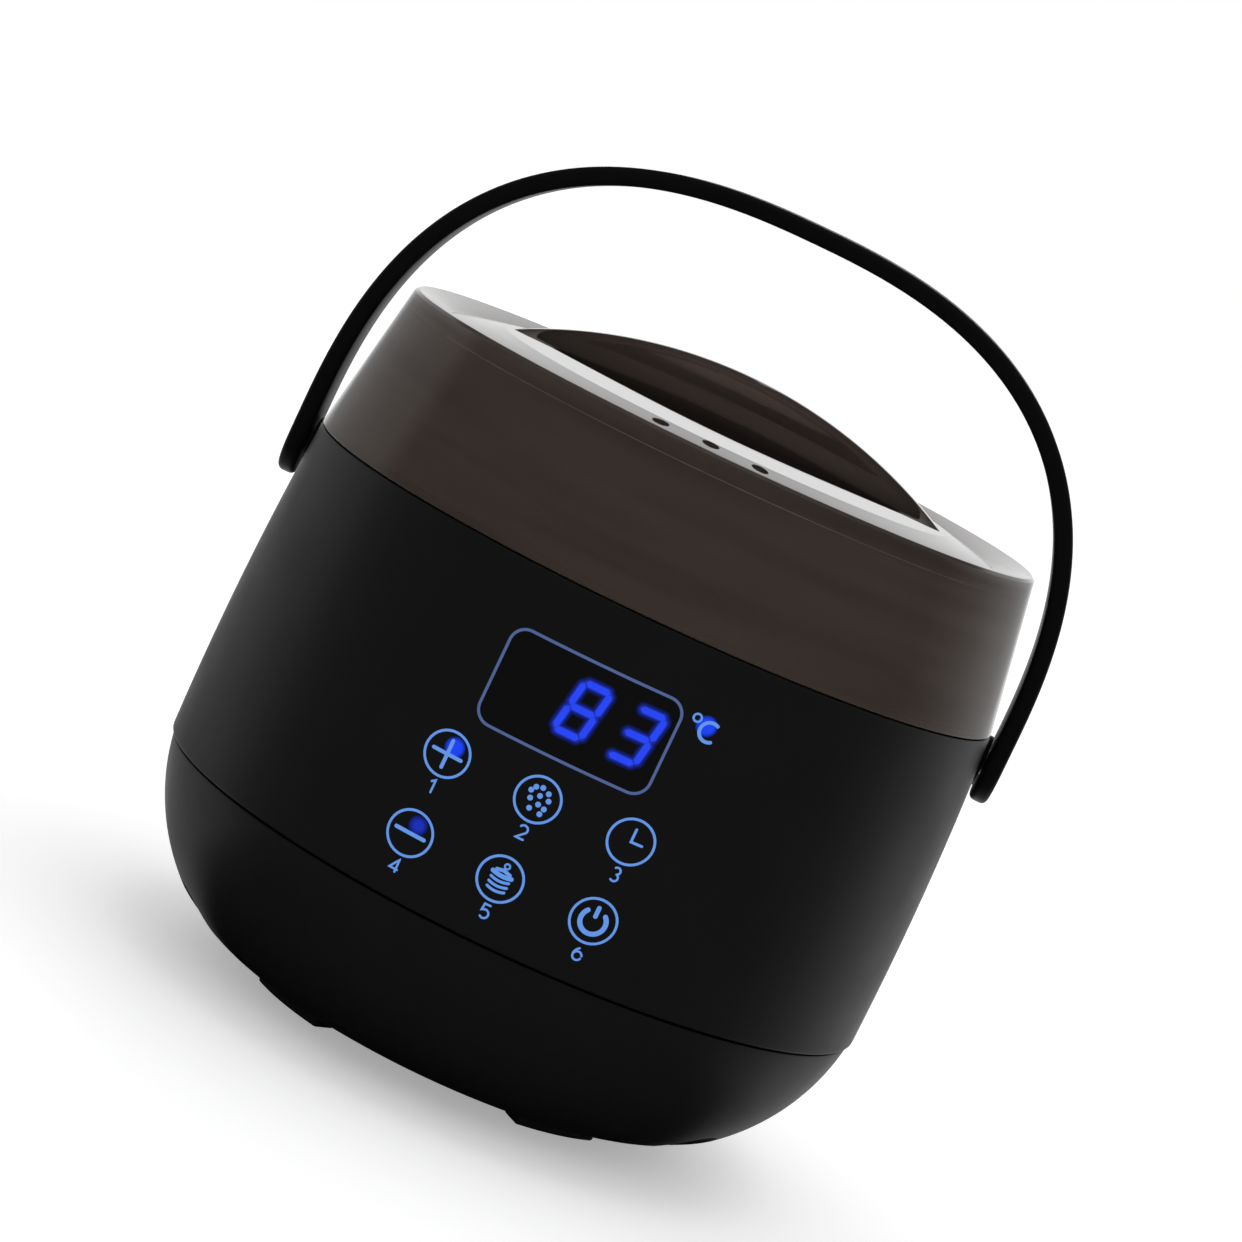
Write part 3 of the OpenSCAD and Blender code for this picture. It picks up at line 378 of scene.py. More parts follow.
# %% Turned forms
def lathe(name, outline, turns=240, crease=30, spin=None):
    """Turns a closed outline of (radius, height) round the Z axis, then moves it by a matrix."""
    points, rings = [], []
    for radius, height in outline:
        count = 1 if radius < 1e-6 else turns
        rings.append(range(len(points), len(points) + count))
        for i in range(count):
            angle = 2 * math.pi * i / turns
            points.append(Vector((radius * math.cos(angle), radius * math.sin(angle), height)))
    faces = []
    for ring, following in zip(rings, rings[1:] + rings[:1]):
        if len(ring) + len(following) == 2:
            continue
        for i in range(turns):
            j = (i + 1) % turns
            quad = [ring[i % len(ring)], ring[j % len(ring)],
                    following[j % len(following)], following[i % len(following)]]
            faces.append(list(dict.fromkeys(quad)))
    if spin:
        points = [spin @ point for point in points]
    return new_piece(name, points, faces, crease)


def sideways(side):
    """Stands a turned form on its side: its axis runs out along X at the pivots' height."""
    return Matrix.Translation((0, 0, pivot_z)) @ turned(90 * side, "Y")


def band(first, second, count):
    """Quads between two closed rings of points, given the number of each ring's first point."""
    return [[first + i, first + (i + 1) % count, second + (i + 1) % count, second + i]
            for i in range(count)]


def prism(name, outline, turn, near, far, crease=30):
    """A flat outline carried from one distance to another along the Z axis of a turned frame."""
    count = len(outline)
    points = [turn @ Vector((x, y, depth)) for depth in (near, far) for x, y in outline]
    faces = [list(range(count)), list(range(count, 2 * count))]
    return new_piece(name, points, faces + band(0, count, count), crease)


# %% [markdown]
# Holes and hollows are cut with the exact boolean. A cut leaves long odd faces, and their averaged
# normals would show as smears on a glossy side. So after the cut each face corner takes its normal back
# from the uncut form, or from the cutter, on whose surface it lies.

# %% Cuts that keep the shading
def surface_of(piece):
    mesh = piece.data
    tree = BVHTree.FromPolygons([v.co for v in mesh.vertices], [p.vertices for p in mesh.polygons])
    return mesh, tree, [Vector(c.vector) for c in mesh.corner_normals]


def normal_near(surfaces, point, facing):
    """The smooth normal at a point, from whichever surface lies there and faces the same way."""
    for mesh, tree, corners in surfaces:
        spot, flat, index, distance = tree.find_nearest(point)
        if distance > 3e-6 or abs(flat.dot(facing)) < 0.9:
            continue
        polygon = mesh.polygons[index]
        outline = [mesh.vertices[v].co for v in polygon.vertices]
        weights = interpolate.poly_3d_calc(outline, spot)
        normal = Vector()
        for weight, loop in zip(weights, polygon.loop_indices):
            normal += corners[loop] * weight
        return normal.normalized() * (1 if normal.dot(facing) > 0 else -1)
    return facing


def carve(piece, *tools, keep="DIFFERENCE"):
    """Cuts the tools out of the piece, or keeps what they share, and restores the smooth shading."""
    surfaces = [surface_of(form) for form in (piece, *tools)]
    for tool in tools:
        cut = piece.modifiers.new("cut", "BOOLEAN")
        cut.operation, cut.solver, cut.object = keep, "EXACT", tool
    graph = bpy.context.evaluated_depsgraph_get()
    mesh = bpy.data.meshes.new_from_object(piece.evaluated_get(graph))
    piece.modifiers.clear()
    piece.data = mesh
    for tool in tools:
        bpy.data.objects.remove(tool)
    mesh.shade_smooth()
    normals = []
    for polygon in mesh.polygons:
        centre = polygon.center
        for vertex in polygon.vertices:
            inside = mesh.vertices[vertex].co.lerp(centre, 0.02)
            normals.append(normal_near(surfaces, inside, polygon.normal))
    mesh.normals_split_custom_set(normals)
    return piece


# %% Dressing a piece
def dress(piece, slot, body, *nodes, finish=None):
    """Gives a piece the finish of its slot, unless a finish is given, sets the body it rides on and hides
    the solids it stands for.
    """
    piece.data.materials.clear()
    piece.data.materials.append(finish or finishes[slot])
    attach(piece, body)
    if nodes:
        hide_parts(*nodes)
    print(piece.name, len(piece.data.polygons), "faces on", body)
    return piece


print("mesh tools ready")

# %% [markdown]
# ## Body shell
# The drum's side is one slow bow, a large arc, so its highlight runs straight down without a waist. Both
# rims are broken by a small radius. A ledge inside carries the deck. The front has the display's
# opening, and a shallow round pocket sits under each pivot of the bail.

# %% Body outline
steps = 14


def side_points(start, end, inset=0.0):
    heights = [start + (end - start) * i / steps for i in range(steps + 1)]
    return [(side_r(z) - inset, z) for z in heights]


ledge = 2.6
rim_break = 0.6
deck_under = body_top - 2.7 - wall
outline = [(side_r(body_low) - wall, body_low, 0.2), (side_r(body_low), body_low, rim_break)]
outline += side_points(body_low + 1.5, body_top - 1.5)
outline += [(side_r(body_top), body_top, rim_break), (side_r(body_top) - wall, body_top, rim_break)]
outline += [(side_r(deck_under) - wall, deck_under), (side_r(deck_under) - wall - ledge, deck_under),
            (side_r(deck_under) - wall - ledge, deck_under - 2), (side_r(deck_under) - wall, deck_under - 2)]
outline += side_points(deck_under - 4, body_low + 1.5, wall)
drum = eased(outline)
body = lathe("body", drum, 288)
print("body outline", len(drum), "points")

# %% Window outline
window_w, window_h = extent("display_window", 0), extent("display_window", 2)
window_z = middle("display_window", 2)
window_corner = 3.3
window_reach = 64.0
along_y = turned(90, "X")


def rounded(width, height, corner, steps=8):
    """A rectangle with round corners, centred, as points of (x, y)."""
    points = []
    for index, (sx, sy) in enumerate([(1, 1), (-1, 1), (-1, -1), (1, -1)]):
        centre = (sx * (width / 2 - corner), sy * (height / 2 - corner))
        points += arc(centre, corner, 90 * index, 90 * index + 90, steps)
    return points


def window_prism(name, grow):
    shape = rounded(window_w + 2 * grow, window_h + 2 * grow, window_corner + grow)
    raised = [(x, z + window_z) for x, z in shape]
    return prism(name, raised, along_y, window_reach, body_r + 5, 40)


# %% Openings of the body
spacer_r = extent("pivot_spacers", 2) / 2
spacer_back = side_r(pivot_z) - 1.2


def disc(name, radius, near, far, side):
    """A turned cutter along X on one side."""
    return lathe(name, [(0, near), (radius, near), (radius, far), (0, far)], 96, 30, sideways(side))


pockets = [disc("pocket", spacer_r + 0.1, spacer_back, body_r + 4, side) for side in (-1, 1)]
carve(body, window_prism("opening", 0.12), *pockets)
dress(body, "body_plastic", "housing", "body_shell")

# %% [markdown]
# ## Display window
# The window is a plate of dark plastic that fills its opening flush. It is a piece of the same bowed
# wall, so it is made as what the wall and a rounded block share.

# %% Display window
plate = eased([(side_r(body_low + 20) - wall, body_low + 20), (side_r(body_low + 20), body_low + 20)]
              + side_points(body_low + 21, body_top - 1)
              + side_points(body_top - 1, body_low + 21, wall))
window = lathe("display_window_plate", plate, 288)
carve(window, window_prism("window_block", 0.0), keep="INTERSECT")
dress(window, "window_plastic", "housing", "display_window")

# %% [markdown]
# ## Base shell
# The base turns in under the drum in two arcs, a wide one for the side and a tighter one that runs into
# the flat bottom. A shallow round recess sits low on each side, turned a little to the front. The rear
# has a pocket for the power inlet, and four wells in the bottom hide the case screws.

# %% Base outline
base_top_r = high("base_shell", 0)
side_arc, turn_arc, turn_deg = 49.0, 32.0, 46.0
base_h = seam_z - base_low
top_deg = math.degrees(math.asin(sine(turn_deg) - (base_h - turn_arc * (1 - sine(turn_deg))) / side_arc))
side_centre = (base_top_r - side_arc * cosine(top_deg),
               seam_z + side_arc * sine(top_deg))
turn_centre = (side_centre[0] + (side_arc - turn_arc) * cosine(turn_deg),
               side_centre[1] - (side_arc - turn_arc) * sine(turn_deg))


def base_side(inset):
    """The two arcs of the side, from the bottom up, taken in by a wall."""
    turn = arc(turn_centre, turn_arc - inset, -90, -turn_deg, 14)
    side = arc(side_centre, side_arc - inset, -turn_deg, -top_deg, 20)
    return turn + side[1:]


lip_r = side_r(body_low) - wall - 0.1
lip_top = high("base_shell", 2)
outline = [(0, base_low)] + base_side(0)[:-1] + [(base_top_r, seam_z, 0.35)]
outline += [(lip_r, seam_z), (lip_r, lip_top, 0.3), (0, lip_top)]
base = lathe("base", eased(outline), 288)
room = [(0, base_low + wall)] + [point for point in base_side(wall) if point[1] < seam_z - 6]
room += [(lip_r - 1.6, seam_z - 4), (lip_r - 1.6, lip_top + 1), (0, lip_top + 1)]
cavity = lathe("cavity", room, 144)
print("base bottom is flat to radius", round(turn_centre[0], 1), "top slope", round(top_deg, 1))

# %% Openings of the base
recess_r, recess_depth, recess_deg, recess_turn = 11.0, 3.8, 55.0, 24.0
reach = turn_arc + recess_r - recess_depth
recess_x = turn_centre[0] + reach * cosine(recess_deg)
recess_z = turn_centre[1] - reach * sine(recess_deg)
inlet_w, inlet_h = extent("power_inlet", 0), extent("power_inlet", 2)
inlet_z = middle("power_inlet", 2)
inlet_face = high("power_inlet", 1)
flange_t = 1.5
well_r, well_top, well_out = 3.2, low("case_screws", 2) + 2, 61.5
corners = [turned(45 + 90 * i) for i in range(4)]


def base_cuts(grow):
    """The recesses, the inlet's pocket and the screw wells, grown by a wall to shape the room inside."""
    cuts = []
    for side in (-1, 1):
        aside = turned(-side * recess_turn)
        place = aside @ Matrix.Translation((side * recess_x, 0, recess_z))
        cuts.append(lathe("recess", arc((0, 0), recess_r + grow, -90, 90, 40), 96, 30, place))
    flat = rounded(inlet_w + 0.2 + 2 * grow, inlet_h + 0.2 + 2 * grow, 0.8, 3)
    rear = [(x, inlet_z + z) for x, z in flat]
    cuts.append(prism("inlet_pocket", rear, along_y, flange_t - inlet_face + grow, -body_r - 5))
    for corner in corners:
        place = corner @ Matrix.Translation((well_out, 0, 0))
        r, top = well_r + grow, well_top + grow
        cuts.append(lathe("well", [(0, 0), (r, 0), (r, top), (0, top)], 64, 30, place))
    return cuts


foot_in, foot_out, foot_sweep = 41.0, 48.0, 29.0
foot_top = high("foot_rear_right", 2)


def foot_form(name, corner, grow, bottom):
    """A block that follows the base's round."""
    half = foot_sweep / 2
    flat = arc((0, 0), foot_out + grow, -half, half, 24) + arc((0, 0), foot_in - grow, half, -half, 24)
    return prism(name, flat, corner, bottom, foot_top)


carve(cavity, *base_cuts(wall))
carve(base, cavity, *base_cuts(0), *[foot_form("seat", corner, 0.1, 0) for corner in corners])
dress(base, "body_plastic", "housing", "base_shell")

# %% [markdown]
# ## Feet
# Four rubber pads follow the base's round. Each is a short block with soft edges, glued in a seat.

# %% Feet
for name, turn in (("front_left", 225), ("front_right", 315), ("rear_left", 135), ("rear_right", 45)):
    corner = turned(turn)
    foot = foot_form("pad_" + name, corner, 0, 0)
    soft = foot.modifiers.new("soft edges", "BEVEL")
    soft.width, soft.segments, soft.limit_method = 0.6 * MM, 3, "ANGLE"
    dress(foot, "foot_rubber", "housing", "foot_" + name)

# %% [markdown]
# ## Bail
# The handle is a flat strap bent in a squarish arch, with a round end on each pivot. Its outline is laid
# out flat first, as a long loop with two half rounds. The loop is then stepped in from the edge while it
# climbs over the rounded corner, and every step is bent round the arch. Only the holes are cut.

# %% Path of the bail
bail_out = high("bail", 0)
strap_t, strap_w = 4.2, extent("bail", 1)
arch_z = pivot_z + 6.3
arch_rise = high("bail", 2) - arch_z
fullness = 2.52


def bail_place(share):
    """The outer line of the arch and its outward direction, from the left leg's top to the right one's."""
    t = math.pi * (1 - share)
    c, s = math.cos(t), math.sin(t)
    x = math.copysign(bail_out * abs(c) ** (2 / fullness), c)
    rise = arch_rise * max(s, 0) ** (2 / fullness)
    facing = Vector((math.copysign(abs(x / bail_out) ** (fullness - 1) / bail_out, x), 0,
                     (rise / arch_rise) ** (fullness - 1) / arch_rise))
    return Vector((x, 0, arch_z + rise)), facing.normalized()


path = [bail_place((1 - math.cos(math.pi * i / 160)) / 2) for i in range(161)]
legs = [(Vector((side * bail_out, 0, pivot_z)), Vector((side, 0, 0))) for side in (-1, 1)]
path = [legs[0]] + path + [legs[1]]
print("arch", len(path), "places, rise", round(arch_rise, 1))

# %% Strap
half_w, corner_r, round_steps = strap_w / 2, 1.3, 20


def strap_loop(inset, depth):
    """One closed loop round the strap, so far in from its edge and so deep below its outer face."""
    loop = []
    reach = half_w - inset
    for side in (-1, 1):
        for spot, facing in (path if side < 0 else path[::-1]):
            loop.append(spot - facing * depth + Vector((0, side * reach, 0)))
        end, facing = path[-1] if side < 0 else path[0]
        for i in range(1, round_steps):
            turn = math.pi * i / round_steps
            loop.append(end - facing * depth
                        + Vector((0, side * math.cos(turn), -math.sin(turn))) * reach)
    return loop


section = [(corner_r * (1 - math.cos(a)), corner_r * (1 - math.sin(a)))
           for a in [math.radians(90 * i / 5) for i in range(6)]]
levels = section[::-1] + [(inset, strap_t - depth) for inset, depth in section]
points = [point for inset, depth in levels for point in strap_loop(inset, depth)]
count = len(points) // len(levels)
faces = []
for level in range(len(levels) - 1):
    faces += band(level * count, (level + 1) * count, count)
span = len(path)
for start in (0, (len(levels) - 1) * count):
    across = [start + span + round_steps - 1 + i for i in range(span)][::-1]
    faces += [[start + i, start + i + 1, across[i + 1], across[i]] for i in range(span - 1)]
    faces.append(list(range(start + span - 1, start + span + round_steps)))
    faces.append([across[0], *range(start + count - round_steps + 1, start + count), start])
bail = new_piece("bail_strap", points, faces)
head_r, head_t, head_back = 4.5, 1.8, high("pivot_screws", 0) - 1.8
cuts = [disc("hole", 3.05, bail_out - 10, bail_out + 2, side) for side in (-1, 1)]
cuts += [disc("counterbore", head_r + 0.1, head_back - 0.1, bail_out + 2, side) for side in (-1, 1)]
carve(bail, *cuts)
bail.visible_glossy = False
dress(bail, "strap_plastic", "bail", "bail")

# %% [markdown]
# ## Pivots
# Each leg turns on a shoulder screw. Its head has a broken edge and a cross recess for the driver, and a
# plain disc keeps the leg off the body.

# %% Pivot screws
spacer_face = high("pivot_spacers", 0)
shank_end = spacer_back - 9
for side, name in ((-1, "left"), (1, "right")):
    shank = [(0, head_back + head_t), (head_r, head_back + head_t, 0.5), (head_r, head_back, 0.15),
             (3.0, head_back), (3.0, spacer_back), (2.0, spacer_back), (2.0, shank_end), (0, shank_end)]
    screw = lathe("pivot_screw_" + name, eased(shank, 6), 96, 30, sideways(side))
    blades = []
    for turn in (20, 110):
        flat = [(x * w, y * 0.45) for x, y, w in ((-1, -1, 2.5), (1, -1, 2.5), (1, 1, 2.5), (-1, 1, 2.5))]
        place = sideways(side) @ turned(turn)
        blades.append(prism("blade", flat, place, head_back + 0.7, head_back + head_t + 1))
    carve(screw, *blades)
    dress(screw, "screw_steel", "housing", "pivot_screws")

# %% Pivot spacers
for side, name in ((-1, "left"), (1, "right")):
    ring = [(3.1, spacer_back), (spacer_r, spacer_back),
            (spacer_r, spacer_face, 0.4), (3.1, spacer_face, 0.2)]
    spacer = lathe("pivot_spacer_" + name, eased(ring), 96, 30, sideways(side))
    dress(spacer, "strap_plastic", "housing", "pivot_spacers")

# %% [markdown]
# ## Lid
# The lid is a low cone with a raised rim, a shallow groove inside the rim and a flat crown. A spindle laid
# across the crown presses the finger hollow into it. On the mould that hollow is one smooth dish, so it
# is laid out as a net: each line across the dish is a slice of the spindle, and the net's edge melts
# into the flat crown by a small curve. The same net, one wall larger, makes the bulge inside.

# %% Finger hollow
hollow_half_w, hollow_depth, hollow_half_l = 22.0, 14.0, 53.0
spindle_r = (hollow_half_w ** 2 + hollow_depth ** 2) / (2 * hollow_depth)
spindle_end = spindle_r - hollow_depth - 0.6
spindle_z = crown_z + spindle_r - hollow_depth


def spindle_at(x):
    return spindle_end + (spindle_r - spindle_end) * cosine(90 * x / hollow_half_l) ** 2


def dish_edge(angle, plane, grow):
    """The point where the grown spindle meets a flat, seen from the axis at an angle."""
    reach = spindle_z - plane
    near, far = 0.0, 60.0
    for _ in range(40):
        middle = (near + far) / 2
        x, y = middle * math.cos(angle), middle * math.sin(angle)
        inside = abs(x) < hollow_half_l and (spindle_at(x) + grow) ** 2 - y ** 2 > reach ** 2
        near, far = (middle, far) if inside else (near, middle)
    return Vector((near * math.cos(angle), near * math.sin(angle)))


def dish_point(x, y, grow):
    return Vector((x, y, spindle_z - math.sqrt(max((spindle_at(x) + grow) ** 2 - y ** 2, 0))))


# %% Lid net
around = 288
lid_angles = [2 * math.pi * (i + 0.5) / around for i in range(around)]


def skin(outline, plane, grow, melt):
    """Rings of points from an outline of (radius, height) at the rim in to the lowest line of the dish."""
    rings = [[Vector((r * math.cos(a), r * math.sin(a), z)) for a in lid_angles] for r, z in outline]
    edge = [dish_edge(a, plane, grow) for a in lid_angles]
    last = outline[-1][0]
    for share in (0.5, 0.8):
        rings.append([Vector((*(e.normalized() * (last + (e.length + melt - last) * share)), plane))
                      for e in edge])
    for k in range(7):
        ring = []
        for e in edge:
            t = k / 6
            outer = Vector((*(e.normalized() * (e.length + melt)), plane))
            inner = dish_point(e.x * (1 - melt / e.length), e.y * (1 - melt / e.length), grow)
            ring.append(outer * (1 - t) ** 2 + Vector((*e, plane)) * 2 * t * (1 - t) + inner * t ** 2)
        rings.append(ring)
    for share in [1 - i / 16 for i in range(1, 17)]:
        ring = []
        for e in edge:
            x, y = e.x * (1 - melt / e.length), e.y * (1 - melt / e.length)
            ring.append(dish_point(x, y * math.sin(share * math.pi / 2), grow))
        rings.append(ring)
    return rings


def net(name, rings):
    """A mesh of quads between rings of the same count."""
    count = len(rings[0])
    points = [point for ring in rings for point in ring]
    faces = []
    for row in range(len(rings) - 1):
        faces += band(row * count, (row + 1) * count, count)
    return new_piece(name, points, faces)


# %% Lid cover
lid_r, rim_r, lid_bevel, lid_wall = side_r(lid_line), 76.3, 0.8, 2.2
groove_r, groove_z, crown_r = 67.0, rim_z - 2.4, 54.5
slope = (lid_r - rim_r) / (rim_z - lid_line)
skirt_r, skirt_t, skirt_low = side_r(lid_line) - wall - 0.4, 1.8, low("lid_cover", 2)
root_z, in_top_z = lid_line + 1.2, groove_z - lid_wall
in_r = lid_r - lid_wall
outside = [(skirt_r, lid_line), (lid_r, lid_line, 0.3), (rim_r + slope * lid_bevel, rim_z - lid_bevel, 0.5),
           (rim_r - lid_bevel, rim_z, 0.6), (groove_r, groove_z, 1.2), (crown_r, crown_z, 2.5),
           (crown_r - 3, crown_z)]
inside = [(skirt_r, skirt_low + 0.3), (skirt_r - skirt_t / 2, skirt_low),
          (skirt_r - skirt_t, skirt_low + 0.3), (skirt_r - skirt_t, root_z),
          (in_r - slope * (root_z - lid_line), root_z, 0.5),
          (in_r - slope * (in_top_z - lid_line), in_top_z, 1.0), (crown_r, in_top_z)]
rings = skin(eased(outside, 6), crown_z, 0, 0.9)[::-1] + skin(eased(inside, 6), in_top_z, lid_wall, 0.6)
lid = net("lid", rings)
vent_r, vent_y, vent_gap = 2.0, -56.5, 11.6
hole = [(0, in_top_z - 2), (vent_r, in_top_z - 2), (vent_r, rim_z + 2), (0, rim_z + 2)]
vents = [lathe("vent", hole, 48, 30, Matrix.Translation((x, vent_y, 0)))
         for x in (-vent_gap, 0, vent_gap)]
carve(lid, *vents)
dress(lid, "lid_plastic", "lid", "lid_cover")

# %% [markdown]
# ## Lid grip
# The grip is an arched plate that stands in the dish, end to end of the crown. Its top edges are rounded
# for the fingers. Each slice across it starts in the dish's floor, so the foot of the plate has no gap.

# %% Grip
grip_half, grip_rise, grip_t, grip_round = 53.0, grip_top - rim_z, 8.0, 2.0
arch_r = (grip_half ** 2 + grip_rise ** 2) / (2 * grip_rise)
arch_base = grip_top - arch_r
brow = [(grip_t / 2 - grip_round * (1 - math.cos(a)), grip_round * (1 - math.sin(a)))
        for a in [math.radians(90 * i / 6) for i in range(7)]]
rings, slices = [], 140
for i in range(slices + 1):
    x = -(grip_half + 0.3) * math.cos(math.pi * i / slices)
    shoulder = arch_base + math.sqrt((arch_r - grip_round) ** 2 - x ** 2)
    floor_z = min(crown_z, dish_point(x, grip_t / 2, 0).z) - 0.4
    foot_z = min(floor_z, shoulder - 0.3)
    right = [(grip_t / 2, foot_z)]
    right += [(y, arch_base + math.sqrt((arch_r - drop) ** 2 - x ** 2)) for y, drop in brow]
    rings.append([Vector((x, y, z)) for y, z in right] + [Vector((x, -y, z)) for y, z in right[::-1]])
grip = net("grip", rings)
grip_mesh = bmesh.new()
grip_mesh.from_mesh(grip.data)
bmesh.ops.holes_fill(grip_mesh, edges=[edge for edge in grip_mesh.edges if edge.is_boundary])
grip_mesh.to_mesh(grip.data)
grip_mesh.free()
settle(grip, 40)
grip.visible_glossy = False
# The grip's smoke is near black low in the dish and brown at the top: painted shade in the hollow.
grip_smoke_painted_shade = smoked("grip_smoke_painted_shade", 0.6, (0.045, 0.038, 0.035), (0.21, 0.155, 0.128), 0.05, 0.05,
                    rim_z - 1, rim_z + 11)
dress(grip, "lid_plastic", "lid", "lid_grip", finish=grip_smoke_painted_shade)

# %% [markdown]
# ## Lit marks
# The marks are thin films on the bowed side, lit from behind. A mark is drawn flat, in millimetres across
# and up, as ribbons and spots, and then laid on the side. Each point also keeps how strongly it is lit,
# from 1 in the middle of a light to 0 at the end of its halo, for the colour to follow.

# %% Ribbons and spots
sink = 0.03


def ribbon(path, width, lift=0.02, lit=1.0, tip="round", closed=False):
    """Rings of four (x, z, lift, lit) along a path, narrowed at both tips."""
    ends = list(path) + [path[0]] * closed
    legs = [(Vector(a), Vector(b)) for a, b in zip(ends, ends[1:])]
    total = sum((b - a).length for a, b in legs)
    half = width / 2
    count = max(2, round(total / 0.9))
    marks = {total * i / count for i in range(count + 1)}
    for index in range(1, len(legs)):
        marks.add(sum((b - a).length for a, b in legs[:index]))
    if not closed:
        near_tip = [half * k for k in (0.04, 0.15, 0.35, 0.65, 1)]
        marks |= set(near_tip) | {total - gap for gap in near_tip}
    rings = []
    for mark in sorted(marks)[:len(marks) - closed]:
        walked = 0.0
        for index, (a, b) in enumerate(legs):
            if mark <= walked + (b - a).length + 1e-6:
                break
            walked += (b - a).length
        along = (b - a).normalized()
        spot = a + along * (mark - walked)
        turn = along
        following = legs[(index + 1) % len(legs)] if closed or index + 1 < len(legs) else None
        if following and abs(mark - walked - (b - a).length) < 1e-6:
            turn = (along + (following[1] - following[0]).normalized()).normalized()
        side = Vector((-turn.y, turn.x)) / max(0.5, turn.dot(along))
        edge = min(mark, total - mark)
        reach = half
        if not closed and edge < half:
            reach = edge if tip == "pointed" else math.sqrt(max(half ** 2 - (half - edge) ** 2, 0))
        left, right = spot + side * reach, spot - side * reach
        rings.append([(*left, lift, lit), (*right, lift, lit), (*right, -sink, lit), (*left, -sink, lit)])
    return rings, closed


def spot(centre, radius, lift=0.02, halo=None):
    """Rings of a round spot. With a halo its light fades from the middle to the edge."""
    rings = []
    levels = [(share, lift) for share in (0, 0.2, 0.4, 0.6, 0.8, 1)] + [(1, -sink), (0, -sink)]
    for share, height in levels:
        lit = 1.0 if halo is None else max(0.0, min(1.0, (1 - share) / halo))
        ring = arc(centre, max(radius * share, 1e-7), 0, 350, 35)
        rings.append([(x, z, height, lit) for x, z in ring])
    return rings, False


def on_side(x, z, lift):
    return Vector((x, -math.sqrt((side_r(z) + lift) ** 2 - x ** 2), z))


def printed(name, forms, finish):
    """One piece of all the forms, laid on the body's side."""
    points, lights, faces = [], [], []
    for rings, closed in forms:
        count, start = len(rings[0]), len(points)
        for ring in rings:
            points += [on_side(x, z, lift) for x, z, lift, lit in ring]
            lights += [lit for x, z, lift, lit in ring]
        for row in range(len(rings) if closed else len(rings) - 1):
            following = (row + 1) % len(rings)
            faces += band(start + row * count, start + following * count, count)
        if not closed:
            faces += [list(range(start, start + count)), list(range(len(points) - count, len(points)))]
    mesh = bpy.data.meshes.new(name)
    mesh.from_pydata([point * MM for point in points], [], faces)
    mesh.attributes.new("lit", "FLOAT", "POINT").data.foreach_set("value", lights)
    piece = stand(name, mesh)
    settle(piece)
    return dress(piece, "led_lens", "housing", finish=finish)


def light(name, dark, bright):
    """A film that glows between two colours as the point is lit more or less."""
    recipe = Recipe(name)
    lit = recipe.add("ShaderNodeAttribute", {"attribute_name": "lit"}, output=2)
    grain = recipe.noise(1.1, 2)
    glow = recipe.mix(lit, dark, bright)
    return recipe.finish({
        "Base Color": recipe.mix(grain, (0.005, 0.005, 0.006), (0.008, 0.008, 0.009)),
        "Roughness": (grain - 0.5) * 0.1 + 0.35,
        "Emission Color": recipe.mix((grain - 0.5) * 0.2 + 0.1, glow, (0, 0, 0)),
        "Emission Strength": 1.0,
    })


# %% Window outline
frame_corner, frame_line = 3.6, 0.62
ring = rounded(window_w + 0.1, window_h - 0.5, frame_corner, 10)
forms = [ribbon([(x, window_z + z) for x, z in ring], frame_line, closed=True)]
printed("window_outline", forms, light("outline_light", (0, 0, 0), (0.085, 0.13, 0.31)))

# %% [markdown]
# The display shows a number in seven bars a digit, each bar a ribbon with pointed tips that leans to the
# right. Wider and dimmer ribbons below each bar make its halo.

# %% Digits
digit_h, digit_w, bar_w = 11.2, 5.9, 1.4
lean = math.tan(math.radians(10))
bars = {"a": ((0, 1), (1, 1)), "b": ((1, 1), (1, 0.5)), "c": ((1, 0.5), (1, 0)), "d": ((0, 0), (1, 0)),
        "e": ((0, 0.5), (0, 0)), "f": ((0, 1), (0, 0.5)), "g": ((0, 0.5), (1, 0.5))}
halos = [(bar_w, 1.0, 0.026), (bar_w + 0.5, 0.4, 0.02),
         (bar_w + 1.1, 0.16, 0.014), (bar_w + 1.8, 0.06, 0.008)]
forms = []
for centre_x, lit_bars in ((0.5, "abcdefg"), (12.9, "abcdg")):
    for bar in lit_bars:
        ends = []
        for across, rise in bars[bar]:
            z = (rise - 0.5) * digit_h
            ends.append(Vector((centre_x + (across - 0.5) * digit_w + z * lean, window_z + 0.6 + z)))
        along = (ends[1] - ends[0]).normalized()
        for width, lit, lift in halos:
            grow = (width - bar_w) / 2 - 0.12
            path = [tuple(ends[0] - along * grow), tuple(ends[1] + along * grow)]
            forms.append(ribbon(path, width, lift, lit, "pointed" if lit == 1.0 else "round"))
printed("display_digits", forms, light("digit_light", (0, 0, 0.01), (0.02, 0.065, 1.0)))

# %% [markdown]
# Six keys lie under the display in two rows. Each has a ring with a plain sign in it, and a small number.

# %% Key signs
key_x, upper_z, lower_z, key_r = 21.1, 74.2, 55.8, 4.9
thin, thick = 0.55, 0.95
signs = [ribbon(arc((x, z), key_r, 0, 350, 35), thin, closed=True)
         for x in (-key_x, 0, key_x) for z in (upper_z, lower_z)]
signs += [ribbon([(-key_x - 3.6, upper_z), (-key_x + 3.6, upper_z)], 0.8, 0.024),
          ribbon([(-key_x, upper_z - 3.4), (-key_x, upper_z + 3.4)], 0.8, 0.028),
          ribbon([(-key_x - 3.7, lower_z), (-key_x + 3.7, lower_z)], 0.85, 0.024)]
for x, z in ((-1.4, 2.3), (0, 2.7), (-2.1, 1.3), (1.6, 2.0), (0.1, 0.9), (2.2, 0.6), (-1.6, -0.3),
             (0.5, -0.9), (2.0, -1.3), (-0.9, -2.3), (1.6, -2.6)):
    signs.append(spot((x, upper_z + z), 0.6))
